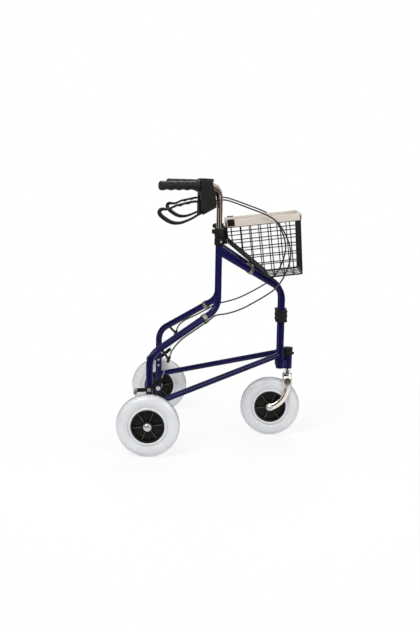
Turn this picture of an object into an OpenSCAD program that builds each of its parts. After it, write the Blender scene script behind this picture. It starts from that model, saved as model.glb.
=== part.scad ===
// Three wheel rollator: two side frames that swing on a front hinge, a caster, loop brakes and a basket.
// +X is forward, +Y is the user's left, +Z is up. The origin is on the floor, midway between the axles.

/* [Stance] */
// Distance from the rear axle line to the caster axle
wheelbase = 395; // [360:1:430]
// Distance between the middle planes of the rear wheels
track = 594; // [560:1:640]
// Distance from a rear leg's axis to the middle plane of its wheel
leg_inset = 52.5; // [48:0.5:60]

/* [Wheels] */
// Outside diameter of a tyre
wheel_d = 200; // [190:1:205]
// Width of a tyre
tyre_w = 42; // [36:1:44]
// Diameter of the rim that the tyre sits on
rim_d = 106; // [100:1:110]
// Width of the rim's barrel
barrel_w = 32; // [28:1:34]
// Radial thickness of the rim's barrel
barrel_wall = 6; // [4:0.5:8]
// Thickness of the rim's web
web_t = 6; // [4:0.5:8]
// Diameter of the hub
hub_d = 33; // [31:0.5:40]
// Width of the hub
hub_w = 46; // [45:0.5:48]
// Outside diameter of a wheel bearing
bearing_d = 26; // [24:0.5:28]
// Width of a wheel bearing
bearing_w = 9; // [7:0.5:11]
// Diameter of the wheel axles
axle_d = 10; // [8:0.5:11]
// Number of ribs on each face of a rim
rib_count = 6; // [4:1:8]
// Thickness of a rib
rib_t = 2.4; // [2:0.1:3]
// Width of a tyre's bead where it meets the rim
bead_w = 36; // [33:0.5:38]
// Diameter of the polished axle cap
axle_cap_d = 22; // [18:0.5:26]
// Depth of the axle cap
axle_cap_h = 6; // [4:0.5:8]

/* [Frame tubes] */
// Outside diameter of the main tubes and the upper struts
tube_d = 22; // [21.5:0.1:23]
// Wall of every frame tube
tube_wall = 1.4; // [1.2:0.05:1.45]
// Outside diameter of the lower struts
brace_d = 19; // [17:0.5:20]
// Bend radius of the frame tubes along their middle line
frame_bend = 60; // [50:1:65]
// Distance from the origin forward to the hinge axes
hinge_x = 227; // [222:1:232]
// Distance between the two hinge axes
hinge_gap = 50; // [48:1:54]
// Distance along X from the hinge axes back to the uprights
upright_back = 213; // [205:1:216]
// Height of an upright's top
upright_top = 690; // [684:1:696]
// Height where an upright meets its sloped tube
knee_z = 450; // [440:1:460]
// Height where a sloped tube meets its leg
hip_z = 312; // [304:1:320]
// Height of a leg's lower end
leg_end_z = 84; // [80:1:86]
// Height where an upper strut meets its upright
strut_rear_z = 636; // [630:1:638]
// Height where an upper strut would meet its hinge axis
strut_front_z = 504; // [498:1:508]
// Height of a front tube's lower end
front_end_z = 240; // [238:1:242]
// Height where a lower strut meets its leg
brace_rear_z = 151; // [148:1:156]
// Height where a lower strut meets its front tube
brace_front_z = 283; // [282:1:290]

/* [Front hinge] */
// Height of the hinge clamp's lower face
clamp_z = 394; // [380:1:405]
// Height of the hinge clamp
clamp_h = 40; // [34:1:44]
// Wall of the hinge clamp round a tube
clamp_wall = 8; // [6:0.5:9]
// Diameter of the clamp's screws
clamp_screw_d = 5; // [4:0.5:6]
// Height of the lower bracket's sleeves
sleeve_h = 23; // [18:1:24]
// Wall of the lower bracket's sleeves
sleeve_wall = 4; // [3:0.5:5]
// Distance from the hinge axes forward to the caster stem
stem_ahead = 27; // [26:0.5:30]
// Outside diameter of the head tube
head_d = 29; // [28.5:0.5:31]
// Height of the head tube's lower end
head_z = 232; // [231:0.5:236]
// Length of the head tube
head_h = 63; // [58:1:68]
// Diameter of the head tube's bore
head_bore_d = 24; // [22:0.5:25]
// Length of a stem bush
bush_h = 12; // [9:1:16]
// Diameter of the caster stem
stem_d = 12; // [10:0.5:14]

/* [Caster fork] */
// Diameter of the fork crown
crown_d = 32; // [28:1:34]
// Height of the fork crown's upper face
crown_top_z = 214; // [213:0.5:217]
// Height of the fork crown
crown_h = 13; // [9:0.5:14]
// Width of a fork leg seen from the side
fork_leg_w = 20; // [16:0.5:22]
// Thickness of a fork leg
fork_leg_t = 6; // [4:0.5:8]
// Clear width between the fork legs
fork_gap = 54; // [52:1:58]
// Height where the fork legs start to curve back
fork_bend_z = 177; // [172:1:182]
// Diameter of the fork's axle eyes
fork_eye_d = 22; // [20:0.5:26]

/* [Handles] */
// Outside diameter of a handle tube
handle_d = 19; // [18.9:0.02:19.04]
// Wall of a handle tube
handle_wall = 1.5; // [1.2:0.1:2]
// Bend radius of a handle tube
handle_bend = 45; // [40:1:48]
// Height of a grip's middle line
grip_z = 844; // [838:1:850]
// Length of a handle tube inside its upright
handle_insert = 165; // [140:1:180]
// Distance along a side frame from an upright back to the handle's end
handle_reach = 206; // [200:1:214]
// Length of a grip
grip_l = 134; // [125:1:138]
// Diameter of a grip over its ridges
grip_d = 30; // [28:0.5:34]
// Depth of a grip's finger grooves
groove_depth = 1.4; // [0.8:0.1:2]
// Number of finger grooves on a grip
groove_count = 4; // [3:1:5]
// Thickness of a grip's end wall
grip_end_t = 4; // [3:0.5:6]
// Width of a grip's front flange
flange_w = 6; // [4:0.5:8]
// Height of the flange above the grip
flange_h = 3; // [1.5:0.5:4]
// Outside diameter of a height collar
collar_d = 30; // [28:0.5:32]
// Height of a height collar
collar_h = 28; // [24:1:32]
// Length of the height collar over its upright
collar_lap = 8; // [6:0.5:12]
// Diameter of a height knob
knob_d = 15; // [12:0.5:18]
// Depth of a height knob
knob_h = 9; // [7:0.5:12]
// Diameter of a height knob's screw
knob_screw_d = 6; // [5:0.5:7]

/* [Brake levers] */
// Thickness of a brake housing
housing_t = 28; // [26:0.5:30]
// Width of a brake housing along the handle
housing_w = 55; // [50:1:56]
// Height of a brake housing
housing_h = 108; // [100:1:112]
// Height of a housing's top above the grip's middle line
housing_top = 18; // [16:0.5:20]
// Length of a loop lever behind its pin
lever_l = 156; // [145:1:160]
// Height of a loop lever
lever_h = 67; // [60:1:70]
// Diameter of a loop lever's bar
lever_bar_d = 10; // [8:0.5:10.5]
// Bend radius of a loop lever's bar
lever_bend = 14; // [10:0.5:16]
// Diameter of a lever pin
lever_pin_d = 6; // [5:0.5:7]
// Width of the slot that a lever turns in
lever_slot_w = 11.4; // [11.2:0.1:12.4]
// Diameter of a cable adjuster
adjuster_d = 9; // [8:0.5:10]
// Length of a cable adjuster
adjuster_l = 20; // [16:1:24]

/* [Rear brakes] */
// Height of a brake arm's pivot above the axle
brake_pivot_rise = 106; // [104:1:110]
// Diameter of a brake pivot bolt
brake_bolt_d = 8; // [7:0.5:9]
// Distance between the pivot bolt and the bracket bolt
brake_bolt_gap = 20; // [18:1:26]
// Thickness of a brake arm
brake_arm_t = 4; // [3:0.5:5]
// Width of a brake arm
brake_arm_w = 12; // [10:0.5:14]
// Distance from the pivot back to the brake shoe
shoe_back = 40; // [38:1:44]
// Distance from the pivot forward to the wire's end
wire_ahead = 38; // [34:1:42]
// Height of the wire's end above the pivot
wire_rise = 33; // [28:1:36]
// Diameter of a brake shoe
shoe_d = 12; // [10:0.5:13]
// Length of a brake shoe across the tyre
shoe_l = 36; // [30:1:40]
// Gap between a brake shoe and its tyre at rest
shoe_gap = 4.6; // [4.5:0.1:6]

/* [Basket] */
// Distance from the origin to the basket's rear top edge
basket_x = 33; // [32:0.5:36]
// Height of the basket's rear top edge
basket_z = 728; // [727:1:734]
// Angle by which the basket's front is raised
basket_tilt = 7; // [6:0.5:8]
// Width of the basket
basket_w = 216; // [200:1:218]
// Length of the basket along its top
basket_l = 244; // [230:1:250]
// Length of the basket's floor
basket_floor_l = 111; // [104:1:114]
// Depth of the basket
basket_depth = 194; // [180:1:196]
// Height of the basket's upright rear wall
basket_back_h = 68; // [60:1:70]
// How far the front wall leans in at the floor
basket_rake = 11; // [6:1:16]
// Pitch of the wires
net_pitch = 28; // [26:1:40]
// Thickness of the wires
net_wire = 3; // [2.5:0.1:4]
// Height of the tray's skirt below the basket's rim
tray_skirt = 18; // [14:0.5:22]
// Height of the tray above the basket's rim
tray_rise = 4; // [3:0.5:6]
// Wall of the tray
tray_wall = 2.4; // [2:0.1:3]
// Depth of the tray's tub below the basket's rim
tray_depth = 14; // [8:0.5:17]

/* [Cables] */
// Outside diameter of a brake cable
cable_d = 5; // [4:0.25:5.5]
// Diameter of a cable's inner wire
wire_d = 2; // [1.6:0.1:2.4]

/* [Hidden] */
$fn = 48;

// Clearances and the overrun of every cut
run_fit = 0.05;
seat_fit = 0.02;
free_gap = 0.3;
overrun = 1;
bend_step = 0.05;
bend_lap = 0.8;

// Places that follow from the stance
rear_x = -wheelbase / 2;
caster_x = wheelbase / 2;
wheel_r = wheel_d / 2;
wheel_y = track / 2;
leg_y = wheel_y - leg_inset;
hinge_y = hinge_gap / 2;
stem_x = hinge_x + stem_ahead;
splay = atan((leg_y - hinge_y) / (hinge_x - rear_x));
leg_u = (rear_x - hinge_x) / cos(splay);
upright_u = -upright_back / cos(splay);
handle_end_u = upright_u - handle_reach;

// Radii
tube_r = tube_d / 2;
tube_bore_r = tube_r - tube_wall - bend_step;
hinge_bore_r = tube_r - bend_step + run_fit;
brace_r = brace_d / 2;
handle_r = handle_d / 2;
head_r = head_d / 2;
stem_r = stem_d / 2;
axle_r = axle_d / 2;
hub_r = hub_d / 2;
rim_r = rim_d / 2;
bearing_r = bearing_d / 2;
cable_r = cable_d / 2;

// Middle lines of the frame tubes, as distance along the side plane and height
main_path = [[leg_u, leg_end_z], [leg_u, hip_z], [upright_u, knee_z], [upright_u, upright_top]];
strut_path = [[upright_u, strut_rear_z], [0, strut_front_z], [0, front_end_z]];
brace_path = [[leg_u, brace_rear_z], [0, brace_front_z]];
handle_foot_z = upright_top - handle_insert;
handle_path = [[upright_u, handle_foot_z], [upright_u, grip_z], [handle_end_u, grip_z]];
slope_angle = atan((knee_z - hip_z) / (upright_u - leg_u));
strut_angle = atan((strut_rear_z - strut_front_z) / -upright_u);

// Brake lever and housing, along the side plane
housing_u = upright_u - handle_bend - housing_top * 0.25;
housing_shares = [
    [-0.42, 0.167], [-0.3, 0.167], [0.3, 0.158], [0.32, 0.1], [0.58, -0.5],
    [0.56, -0.63], [-0.25, -0.833], [-0.42, -0.704]
];
lever_pin_share = [-0.06, -0.64];
lever_pin_u = housing_u + lever_pin_share[0] * housing_w;
lever_pin_z = grip_z + lever_pin_share[1] * housing_h;
lever_shares = [
    [-0.08, 0.3], [-0.56, 0.12], [-1, -0.15], [-0.83, -0.68], [-0.45, -0.68], [-0.08, -0.2]
];
lever_boss_shares = [[0.06, 0.05], [-0.04, 0.36], [-0.16, 0.33], [-0.16, -0.36], [-0.04, -0.24]];
slot_shares = [[0.34, -0.62], [0.2, -0.27], [-1, -0.27], [-1, -1], [0, -1]];
adjuster_y = handle_r + cable_r + 2 * free_gap + overrun;
adjuster_z = grip_z - housing_h * 0.41;
adjuster_u = upright_u - handle_r - adjuster_l;
lug_r = adjuster_d * 0.7;

// Rear brake
brake_pivot_z = wheel_r + brake_pivot_rise;
brake_plane_y = -(leg_y + tube_r + brake_arm_t / 2 + free_gap);
shoe_reach = wheel_r + shoe_gap + shoe_d / 2;
shoe_x = rear_x - shoe_back;
shoe_z = wheel_r + sqrt(shoe_reach * shoe_reach - shoe_back * shoe_back);
wire_end = [rear_x + wire_ahead, brake_plane_y, brake_pivot_z + wire_rise];
stop_rise = wire_rise * 2.2;
stop_ahead = wire_ahead * 0.68;
stop_inset = brake_arm_w * 0.75;
stop_top = wire_end + [stop_ahead, stop_inset, stop_rise];
stop_dir = (wire_end - stop_top) / norm(wire_end - stop_top);
stop_foot = stop_top + stop_dir * adjuster_l;

// Clips on the tubes, at shares of the run that they sit on
cable_clip_share = 0.2;
net_clip_share = 0.49;
clip_wall = tube_d * 0.11;
clip_w = tube_d * 0.6;

// Basket outline in its own plane, from the rear top edge
slant_l = basket_l - basket_rake - basket_floor_l;
net_outline = [
    [0, 0], [0, -basket_back_h], [slant_l, -basket_depth],
    [slant_l + basket_floor_l, -basket_depth], [basket_l, 0]
];
basket_half = basket_w / 2;

// Points of the right brake cable, round its basket side and then behind its clip
cable_loop = [
    [21, -117, 800], [44, -120, 797], [78, -127, 786], [112, -130, 774], [146, -130, 762],
    [174, -130, 750], [196, -130, 735], [214, -130, 714], [230, -130, 686], [241, -130, 657],
    [245, -130, 629], [241, -130, 600], [231, -130, 570], [218, -130, 544], [200, -131, 520],
    [176, -133, 501], [132, -138, 474], [86, -143, 450], [44, -143, 436]
];
cable_tail = [[-92, -200, 364], [-110, -222, 350]];
cable_steps = 3;
cable_sides = 8;

// Small helpers

function unit(v) = v / norm(v);
function turn_at(p, i) = acos(unit(p[i] - p[i - 1]) * unit(p[i + 1] - p[i]));
function tangent_at(p, i, bend) = i == 0 || i == len(p) - 1 ? 0 : bend * tan(turn_at(p, i) / 2);
function plane_point(u, y, z) = [
    hinge_x + u * cos(splay) - y * sin(splay),
    -hinge_y + u * sin(splay) + y * cos(splay),
    z
];
function along(p, i, share) = p[i] + (p[i + 1] - p[i]) * share;

// A point of a smooth curve through b and c
function curve_point(a, b, c, d, t) = 0.5 * (2 * b + (c - a) * t + (2 * a - 5 * b + 4 * c - d) * t * t
    + (3 * b - a - 3 * c + d) * t * t * t);
function curve_points(p, steps) = [
    for (i = [0 : len(p) - 2])
        for (k = [0 : steps - 1])
            curve_point(p[max(i - 1, 0)], p[i], p[i + 1], p[min(i + 2, len(p) - 1)], k / steps),
    p[len(p) - 1]
];

// Outline moved inward by d, for an outline listed anticlockwise
function edge_line(p, i, d) =
    let (a = p[i], b = p[(i + 1) % len(p)], e = unit(b - a)) [a + d * [-e[1], e[0]], e];
function line_cross(l, m) =
    let (w = m[0] - l[0], k = l[1][0] * m[1][1] - l[1][1] * m[1][0])
    l[0] + l[1] * (w[0] * m[1][1] - w[1] * m[1][0]) / k;
function inset(p, d) = [
    for (i = [0 : len(p) - 1]) line_cross(edge_line(p, (i + len(p) - 1) % len(p), d), edge_line(p, i, d))
];

module right() { children(); }
module left() { mirror([0, 1, 0]) children(); }
module in_plane() { translate([hinge_x, -hinge_y, 0]) rotate([0, 0, splay]) children(); }
module in_basket() { translate([basket_x, 0, basket_z]) rotate([0, -basket_tilt, 0]) children(); }

// Round bar from a to b
module rod(a, b, r) {
    v = b - a;
    translate(a) rotate([0, acos(v[2] / norm(v)), atan2(v[1], v[0])]) cylinder(h = norm(v), r = r);
}

// Bar with a hole along it
module ring(r_out, r_in, h) {
    difference() {
        cylinder(h = h, r = r_out);
        translate([0, 0, -overrun]) cylinder(h = h + 2 * overrun, r = r_in);
    }
}

// Round bar along a path of points in the X Z plane, with its corners bent.
// The straights are a hair slimmer than the bends and run a little way into them.
module bent_rod(p, bend, r) {
    last = len(p) - 1;
    for (i = [0 : last - 1]) {
        d = unit(p[i + 1] - p[i]);
        a = p[i] + d * (tangent_at(p, i, bend) - (i == 0 ? 0 : bend_lap));
        b = p[i + 1] - d * (tangent_at(p, i + 1, bend) - (i + 1 == last ? 0 : bend_lap));
        rod([a[0], 0, a[1]], [b[0], 0, b[1]], r - bend_step);
    }
    for (i = [1 : last - 1]) {
        d = unit(p[i] - p[i - 1]);
        e = unit(p[i + 1] - p[i]);
        s = sign(d[0] * e[1] - d[1] * e[0]);
        a = p[i] - d * tangent_at(p, i, bend);
        c = a + bend * s * [-d[1], d[0]];
        first = atan2(a[1] - c[1], a[0] - c[0]) - (s > 0 ? 0 : turn_at(p, i));
        translate([c[0], 0, c[1]]) rotate([90, 0, 0]) rotate([0, 0, first])
            rotate_extrude(angle = turn_at(p, i)) translate([bend, 0]) circle(r = r);
    }
}

// The same path with its ends drawn out, for a tube's bore
function drawn_out(p, by) = [
    for (i = [0 : len(p) - 1])
        i == 0 ? p[0] - by * unit(p[1] - p[0])
        : i == len(p) - 1 ? p[i] + by * unit(p[i] - p[i - 1]) : p[i]
];

module bent_tube(p, bend, r, wall) {
    difference() {
        bent_rod(p, bend, r);
        bent_rod(drawn_out(p, overrun), bend, r - wall);
    }
}

// Flat bar through points of an X Z plane, with round corners and ends, centred on Y
module flat_bar(p, w, t) {
    translate([0, t / 2, 0]) rotate([90, 0, 0]) linear_extrude(t) {
        for (q = p) translate(q) circle(r = w / 2 + bend_step);
        for (i = [0 : len(p) - 2]) {
            d = p[i + 1] - p[i];
            translate(p[i]) rotate(atan2(d[1], d[0])) translate([0, -w / 2]) square([norm(d), w]);
        }
    }
}

// Round bar along Y, from y0 to y1
module y_bar(x, z, y0, y1, r) { translate([x, y1, z]) rotate([90, 0, 0]) cylinder(h = y1 - y0, r = r); }

// Plate of an X Z outline, centred on Y
module outline_plate(p, t) { translate([0, t / 2, 0]) rotate([90, 0, 0]) linear_extrude(t) polygon(p); }

// Tube swept along points, one polyhedron
module swept(p, r, sides) {
    n = len(p);
    dirs = [for (i = [0 : n - 1]) unit(p[min(i + 1, n - 1)] - p[max(i - 1, 0)])];
    rings = [
        for (i = [0 : n - 1])
            let (a = unit(cross(dirs[i], [0, 1, 0])), b = cross(dirs[i], a))
            for (k = [0 : sides - 1]) p[i] + r * (cos(360 * k / sides) * a + sin(360 * k / sides) * b)
    ];
    faces = [
        for (i = [0 : n - 2])
            for (k = [0 : sides - 1])
                let (a = i * sides + k, b = i * sides + (k + 1) % sides)
                each [[a, b + sides, b], [a, a + sides, b + sides]],
        for (k = [1 : sides - 2]) [0, k, k + 1],
        for (k = [1 : sides - 2]) (n - 1) * sides * [1, 1, 1] + [0, k + 1, k]
    ];
    polyhedron(rings, faces);
}

// Front hinge

module hinge_clamp() {
    body_r = tube_r + clamp_wall;
    rib_r = body_r + overrun;
    rib_h = clamp_h / 5;
    web_half = tube_r * 0.8;
    color("#17181a") difference() {
        union() {
            for (y = [-hinge_y, hinge_y]) translate([hinge_x, y, clamp_z]) {
                cylinder(h = clamp_h, r = body_r);
                for (k = [0, 2, 4]) translate([0, 0, k * rib_h]) cylinder(h = rib_h, r = rib_r);
            }
            translate([hinge_x - web_half, -hinge_y, clamp_z]) cube([2 * web_half, hinge_gap, clamp_h]);
        }
        for (y = [-hinge_y, hinge_y])
            translate([hinge_x, y, clamp_z - overrun])
                cylinder(h = clamp_h + 2 * overrun, r = hinge_bore_r);
        clamp_screws_at(clamp_screw_d / 2 + run_fit, web_half + overrun);
    }
}

// Shanks of the two clamp screws, half_l long each way
module clamp_screws_at(r, half_l) {
    for (share = [0.28, 0.72])
        translate([hinge_x - half_l, 0, clamp_z + clamp_h * share]) rotate([0, 90, 0])
            cylinder(h = 2 * half_l, r = r);
}

module hinge_screws() {
    web_half = tube_r * 0.8;
    head_h = clamp_screw_d * 0.7;
    color("#b9bcc0") {
        clamp_screws_at(clamp_screw_d / 2, web_half);
        for (share = [0.28, 0.72], s = [-1, 1])
            translate([hinge_x + s * (web_half + head_h / 2), 0, clamp_z + clamp_h * share]) rotate([0, 90, 0])
                cylinder(h = head_h, r = clamp_screw_d * 0.85, center = true);
    }
}

sleeve_z = front_end_z + free_gap;
sleeve_r = tube_r + sleeve_wall;

module head_bracket() {
    web_y = hinge_y + sleeve_r * 0.5;
    web_front = head_r * 0.8;
    color("#1d1d63") difference() {
        union() {
            for (y = [-hinge_y, hinge_y])
                translate([hinge_x, y, sleeve_z]) cylinder(h = sleeve_h, r = sleeve_r);
            translate([0, 0, sleeve_z]) linear_extrude(sleeve_h)
                polygon([[hinge_x, -web_y], [stem_x, -web_front], [stem_x, web_front], [hinge_x, web_y]]);
        }
        for (y = [-hinge_y, hinge_y])
            translate([hinge_x, y, sleeve_z - overrun]) cylinder(h = sleeve_h + 2 * overrun, r = hinge_bore_r);
        translate([stem_x, 0, sleeve_z - overrun])
            cylinder(h = sleeve_h + 2 * overrun, r = head_r + seat_fit);
    }
}

module head_tube() {
    color("#1d1d63") translate([stem_x, 0, head_z]) ring(head_r, head_bore_d / 2, head_h);
}

module stem_bushes() {
    color("#2a2a2a") for (z = [head_z, head_z + head_h - bush_h])
        translate([stem_x, 0, z]) ring(head_bore_d / 2 - seat_fit, stem_r + run_fit, bush_h);
}

nut_h = stem_d * 0.4;
nut_r = stem_d * 0.75;
cap_h = head_h * 0.4;
cap_wall = head_d * 0.055;

module head_cap() {
    top = head_z + head_h;
    roof = nut_h + 2 * cap_wall + 2 * free_gap;
    cap_r = head_r + cap_wall;
    stud_r = cap_h * 0.16;
    color("#141516") {
        difference() {
            translate([stem_x, 0, top + roof - cap_h]) cylinder(h = cap_h, r = cap_r);
            translate([stem_x, 0, top + roof - cap_h - overrun])
                cylinder(h = cap_h - roof + overrun + seat_fit, r = head_r + seat_fit);
            translate([stem_x, 0, top]) cylinder(h = roof - cap_wall, r = nut_r + 2 * cap_wall);
        }
        translate([stem_x + cap_r - cap_wall / 2, 0, top + roof - cap_h * 0.8]) rotate([0, 90, 0])
            cylinder(h = stud_r + cap_wall, r = stud_r);
    }
}

// Caster

fork_drop = fork_bend_z - wheel_r;
fork_trail = stem_x - caster_x;
fork_bend_r = (fork_trail * fork_trail + fork_drop * fork_drop) / (2 * fork_trail);
fork_sweep = 2 * atan(fork_trail / fork_drop);
fork_leg_y = (fork_gap + fork_leg_t) / 2;
fork_eye_t = fork_leg_t + 2 * bend_lap;

module caster_fork() {
    bridge_w = fork_leg_w - 2 * overrun;
    color("#d9d4cc") difference() {
        union() {
            translate([stem_x, 0, crown_top_z - crown_h]) cylinder(h = crown_h, r = crown_d / 2);
            translate([stem_x - bridge_w / 2, -fork_leg_y, crown_top_z - crown_h + free_gap])
                cube([bridge_w, 2 * fork_leg_y, crown_h - 2 * free_gap]);
            for (s = [-1, 1]) translate([0, s * fork_leg_y, 0]) fork_leg();
        }
        translate([stem_x, 0, crown_top_z - crown_h - overrun])
            cylinder(h = crown_h + 2 * overrun, r = stem_r + seat_fit);
        y_bar(caster_x, wheel_r, -fork_gap, fork_gap, axle_r + seat_fit);
    }
}

// One fork leg, centred on Y: straight at the crown, then curved back to the axle eye
module fork_leg() {
    slim_w = fork_leg_w - 2 * bend_step;
    slim_t = fork_leg_t - 2 * bend_step;
    foot = fork_bend_z - bend_lap;
    translate([stem_x - slim_w / 2, -slim_t / 2, foot]) cube([slim_w, slim_t, crown_top_z - overrun - foot]);
    translate([stem_x - fork_bend_r, 0, fork_bend_z]) rotate([90, 0, 0]) rotate([0, 0, -fork_sweep])
        rotate_extrude(angle = fork_sweep) translate([fork_bend_r - fork_leg_w / 2, -fork_leg_t / 2])
            square([fork_leg_w, fork_leg_t]);
    y_bar(caster_x, wheel_r, -fork_eye_t / 2, fork_eye_t / 2, fork_eye_d / 2);
}

stem_top = head_z + head_h + free_gap + nut_h;

module caster_stem() {
    foot = crown_top_z - crown_h;
    color("#cfccc6") translate([stem_x, 0, foot]) cylinder(h = stem_top - foot, r = stem_r);
}

module stem_nuts() {
    lower_h = head_z - free_gap - crown_top_z;
    color("#d9d4cc") {
        translate([stem_x, 0, crown_top_z]) difference() {
            union() {
                cylinder(h = lower_h * 0.6, r = nut_r * 1.2, $fn = 6);
                translate([0, 0, lower_h * 0.6]) cylinder(h = lower_h * 0.4, r = nut_r);
            }
            translate([0, 0, -overrun]) cylinder(h = lower_h + 2 * overrun, r = stem_r + seat_fit);
        }
        translate([stem_x, 0, stem_top - nut_h]) difference() {
            cylinder(h = nut_h, r = nut_r, $fn = 6);
            translate([0, 0, -overrun]) cylinder(h = nut_h + 2 * overrun, r = stem_r + seat_fit);
        }
    }
}

// Wheels, about a Y axis through the origin

module wheel_rim() {
    rib_h = barrel_w * 0.4;
    color("#1b1c1d") rotate([90, 0, 0]) difference() {
        union() {
            translate([0, 0, -hub_w / 2]) cylinder(h = hub_w, r = hub_r);
            translate([0, 0, -web_t / 2]) cylinder(h = web_t, r = rim_r - barrel_wall / 2);
            translate([0, 0, -barrel_w / 2]) ring(rim_r, rim_r - barrel_wall, barrel_w);
            for (k = [0 : rib_count - 1]) rotate([0, 0, 8 + 360 * k / rib_count])
                translate([hub_r * 0.8, -rib_t / 2, -rib_h])
                    cube([rim_r - barrel_wall / 2 - hub_r * 0.8, rib_t, 2 * rib_h]);
        }
        for (s = [-1, 1]) translate([0, 0, s * (hub_w - bearing_w) / 2])
            cylinder(h = bearing_w + seat_fit, r = bearing_r + seat_fit, center = true);
        translate([0, 0, -hub_w]) cylinder(h = 2 * hub_w, r = (axle_r + bearing_r) / 2);
    }
}

module wheel_tyre() {
    bulge_r = tyre_w / 2;
    color("#c9ccd3") rotate([90, 0, 0]) rotate_extrude($fn = 96) difference() {
        union() {
            translate([wheel_r - bulge_r, 0]) circle(r = bulge_r);
            translate([rim_r + seat_fit, -bead_w / 2]) square([wheel_r - bulge_r - rim_r, bead_w]);
        }
        translate([0, -tyre_w]) square([rim_r + seat_fit, 2 * tyre_w]);
    }
}

module wheel_bearings() {
    color("#8d9094") rotate([90, 0, 0]) for (s = [-1, 1])
        translate([0, 0, s * (hub_w - bearing_w) / 2 - bearing_w / 2])
            ring(bearing_r, axle_r + run_fit, bearing_w);
}

module at_front() { translate([caster_x, 0, wheel_r]) children(); }
module at_rear() { translate([rear_x, -wheel_y, wheel_r]) children(); }

module front_axle() {
    head_h = axle_d * 0.5;
    spacer_in = hub_w / 2 + free_gap;
    spacer_out = fork_leg_y - fork_eye_t / 2;
    outer = fork_leg_y + fork_eye_t / 2;
    color("#cfccc6") {
        y_bar(caster_x, wheel_r, -outer - head_h, outer + head_h, axle_r);
        for (y = [-outer - head_h, outer]) y_bar(caster_x, wheel_r, y, y + head_h, axle_d * 0.8);
        for (y = [-spacer_out, spacer_in])
            y_bar(caster_x, wheel_r, y, y + spacer_out - spacer_in, axle_d * 0.75);
    }
}

// Side frames, right side

module leg_cut(r) { translate([rear_x, -leg_y, 0]) cylinder(h = hip_z - frame_bend, r = r); }

module main_tube() {
    color("#1d1d63") difference() {
        in_plane() bent_tube(main_path, frame_bend, tube_r, tube_wall);
        y_bar(rear_x, wheel_r, -leg_y - tube_d, -leg_y + tube_d, axle_r + seat_fit);
        for (z = [brake_pivot_z, brake_pivot_z - brake_bolt_gap])
            y_bar(rear_x, z, -leg_y - tube_d, -leg_y + tube_d, brake_bolt_d / 2 + seat_fit);
    }
}

module upper_strut() {
    color("#1d1d63") in_plane() difference() {
        bent_tube(strut_path, frame_bend, tube_r, tube_wall);
        translate([upright_u, 0, strut_rear_z - tube_d * 2]) cylinder(h = tube_d * 4, r = tube_r + seat_fit);
    }
}

module lower_strut() {
    color("#1d1d63") in_plane() difference() {
        bent_rod_tube(brace_path, brace_r);
        translate([leg_u, 0, brace_rear_z - tube_d * 2]) cylinder(h = tube_d * 4, r = tube_r + seat_fit);
        translate([0, 0, brace_front_z - tube_d * 2]) cylinder(h = tube_d * 4, r = tube_r + seat_fit);
    }
}

// Straight tube between two points of the side plane
module bent_rod_tube(p, r) {
    q = drawn_out(p, overrun);
    difference() {
        rod([p[0][0], 0, p[0][1]], [p[1][0], 0, p[1][1]], r);
        rod([q[0][0], 0, q[0][1]], [q[1][0], 0, q[1][1]], r - tube_wall);
    }
}

plug_lip = tube_d * 0.18;
plug_depth = tube_d * 0.32;

module tube_plugs() {
    color("#141516") in_plane() {
        for (p = [[leg_u, leg_end_z, tube_r], [0, front_end_z, tube_r + sleeve_wall / 2]])
            translate([p[0], 0, p[1] - plug_lip]) {
                cylinder(h = plug_lip, r = p[2]);
                cylinder(h = plug_lip + plug_depth, r = tube_bore_r - seat_fit);
            }
    }
}

collar_z = upright_top - collar_lap;
knob_z = collar_z + (collar_h + collar_lap) / 2;

module height_collar() {
    color("#17181a") in_plane() translate([upright_u, 0, 0]) difference() {
        translate([0, 0, collar_z]) cylinder(h = collar_h, r = collar_d / 2);
        translate([0, 0, collar_z - overrun])
            cylinder(h = collar_lap + overrun + seat_fit, r = tube_r + seat_fit);
        translate([0, 0, collar_z]) cylinder(h = collar_h + overrun, r = handle_r + 2 * run_fit);
        rod([-collar_d, 0, knob_z], [0, 0, knob_z], knob_screw_d / 2 + run_fit);
    }
}

module height_knob() {
    face = -collar_d / 2 - free_gap;
    color("#17181a") in_plane() translate([upright_u, 0, knob_z]) {
        rod([face, 0, 0], [-handle_r - 2 * free_gap, 0, 0], knob_screw_d / 2);
        rod([face - knob_h, 0, 0], [face, 0, 0], knob_d / 2);
    }
}

bracket_h = tube_d;
bracket_wall = tube_d * 0.18;
plate_t = tube_d * 0.27;
plate_w = tube_d;

// Ring on the upright, with a plate that the basket's rear wall hooks against
module basket_bracket() {
    back_x = basket_x - free_gap;
    foot = basket_z - basket_back_h - bracket_wall;
    plate_y = -basket_half - 2 * net_wire;
    axis_y = plane_point(upright_u, 0, foot)[1];
    block_end = plate_y - plate_t * 2 + plate_w;
    color("#141516") difference() {
        union() {
            in_plane() translate([upright_u, 0, foot]) cylinder(h = bracket_h, r = tube_r + bracket_wall);
            translate([back_x - plate_w, axis_y, foot + bracket_wall])
                cube([plate_w + plate_t, block_end - axis_y, bracket_h - 2 * bracket_wall]);
            translate([back_x - plate_t, plate_y, foot + bracket_wall / 2])
                cube([plate_t * 3, plate_w, basket_z - tray_skirt * 1.5 - foot]);
        }
        in_plane() translate([upright_u, 0, foot - overrun])
            cylinder(h = bracket_h + 2 * overrun, r = tube_r + seat_fit);
        in_basket() translate([-free_gap, -basket_w, -basket_depth])
            cube([basket_l, 2 * basket_w, 2 * basket_depth]);
    }
}

module tube_clips() {
    p = along(main_path, 1, 1 - cable_clip_share);
    q = along(strut_path, 0, net_clip_share);
    lug = cable_d + 2 * clip_wall;
    color("#8a8676") difference() {
        tube_clip_rings(p, q, lug);
        above_slant();
    }
}

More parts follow.
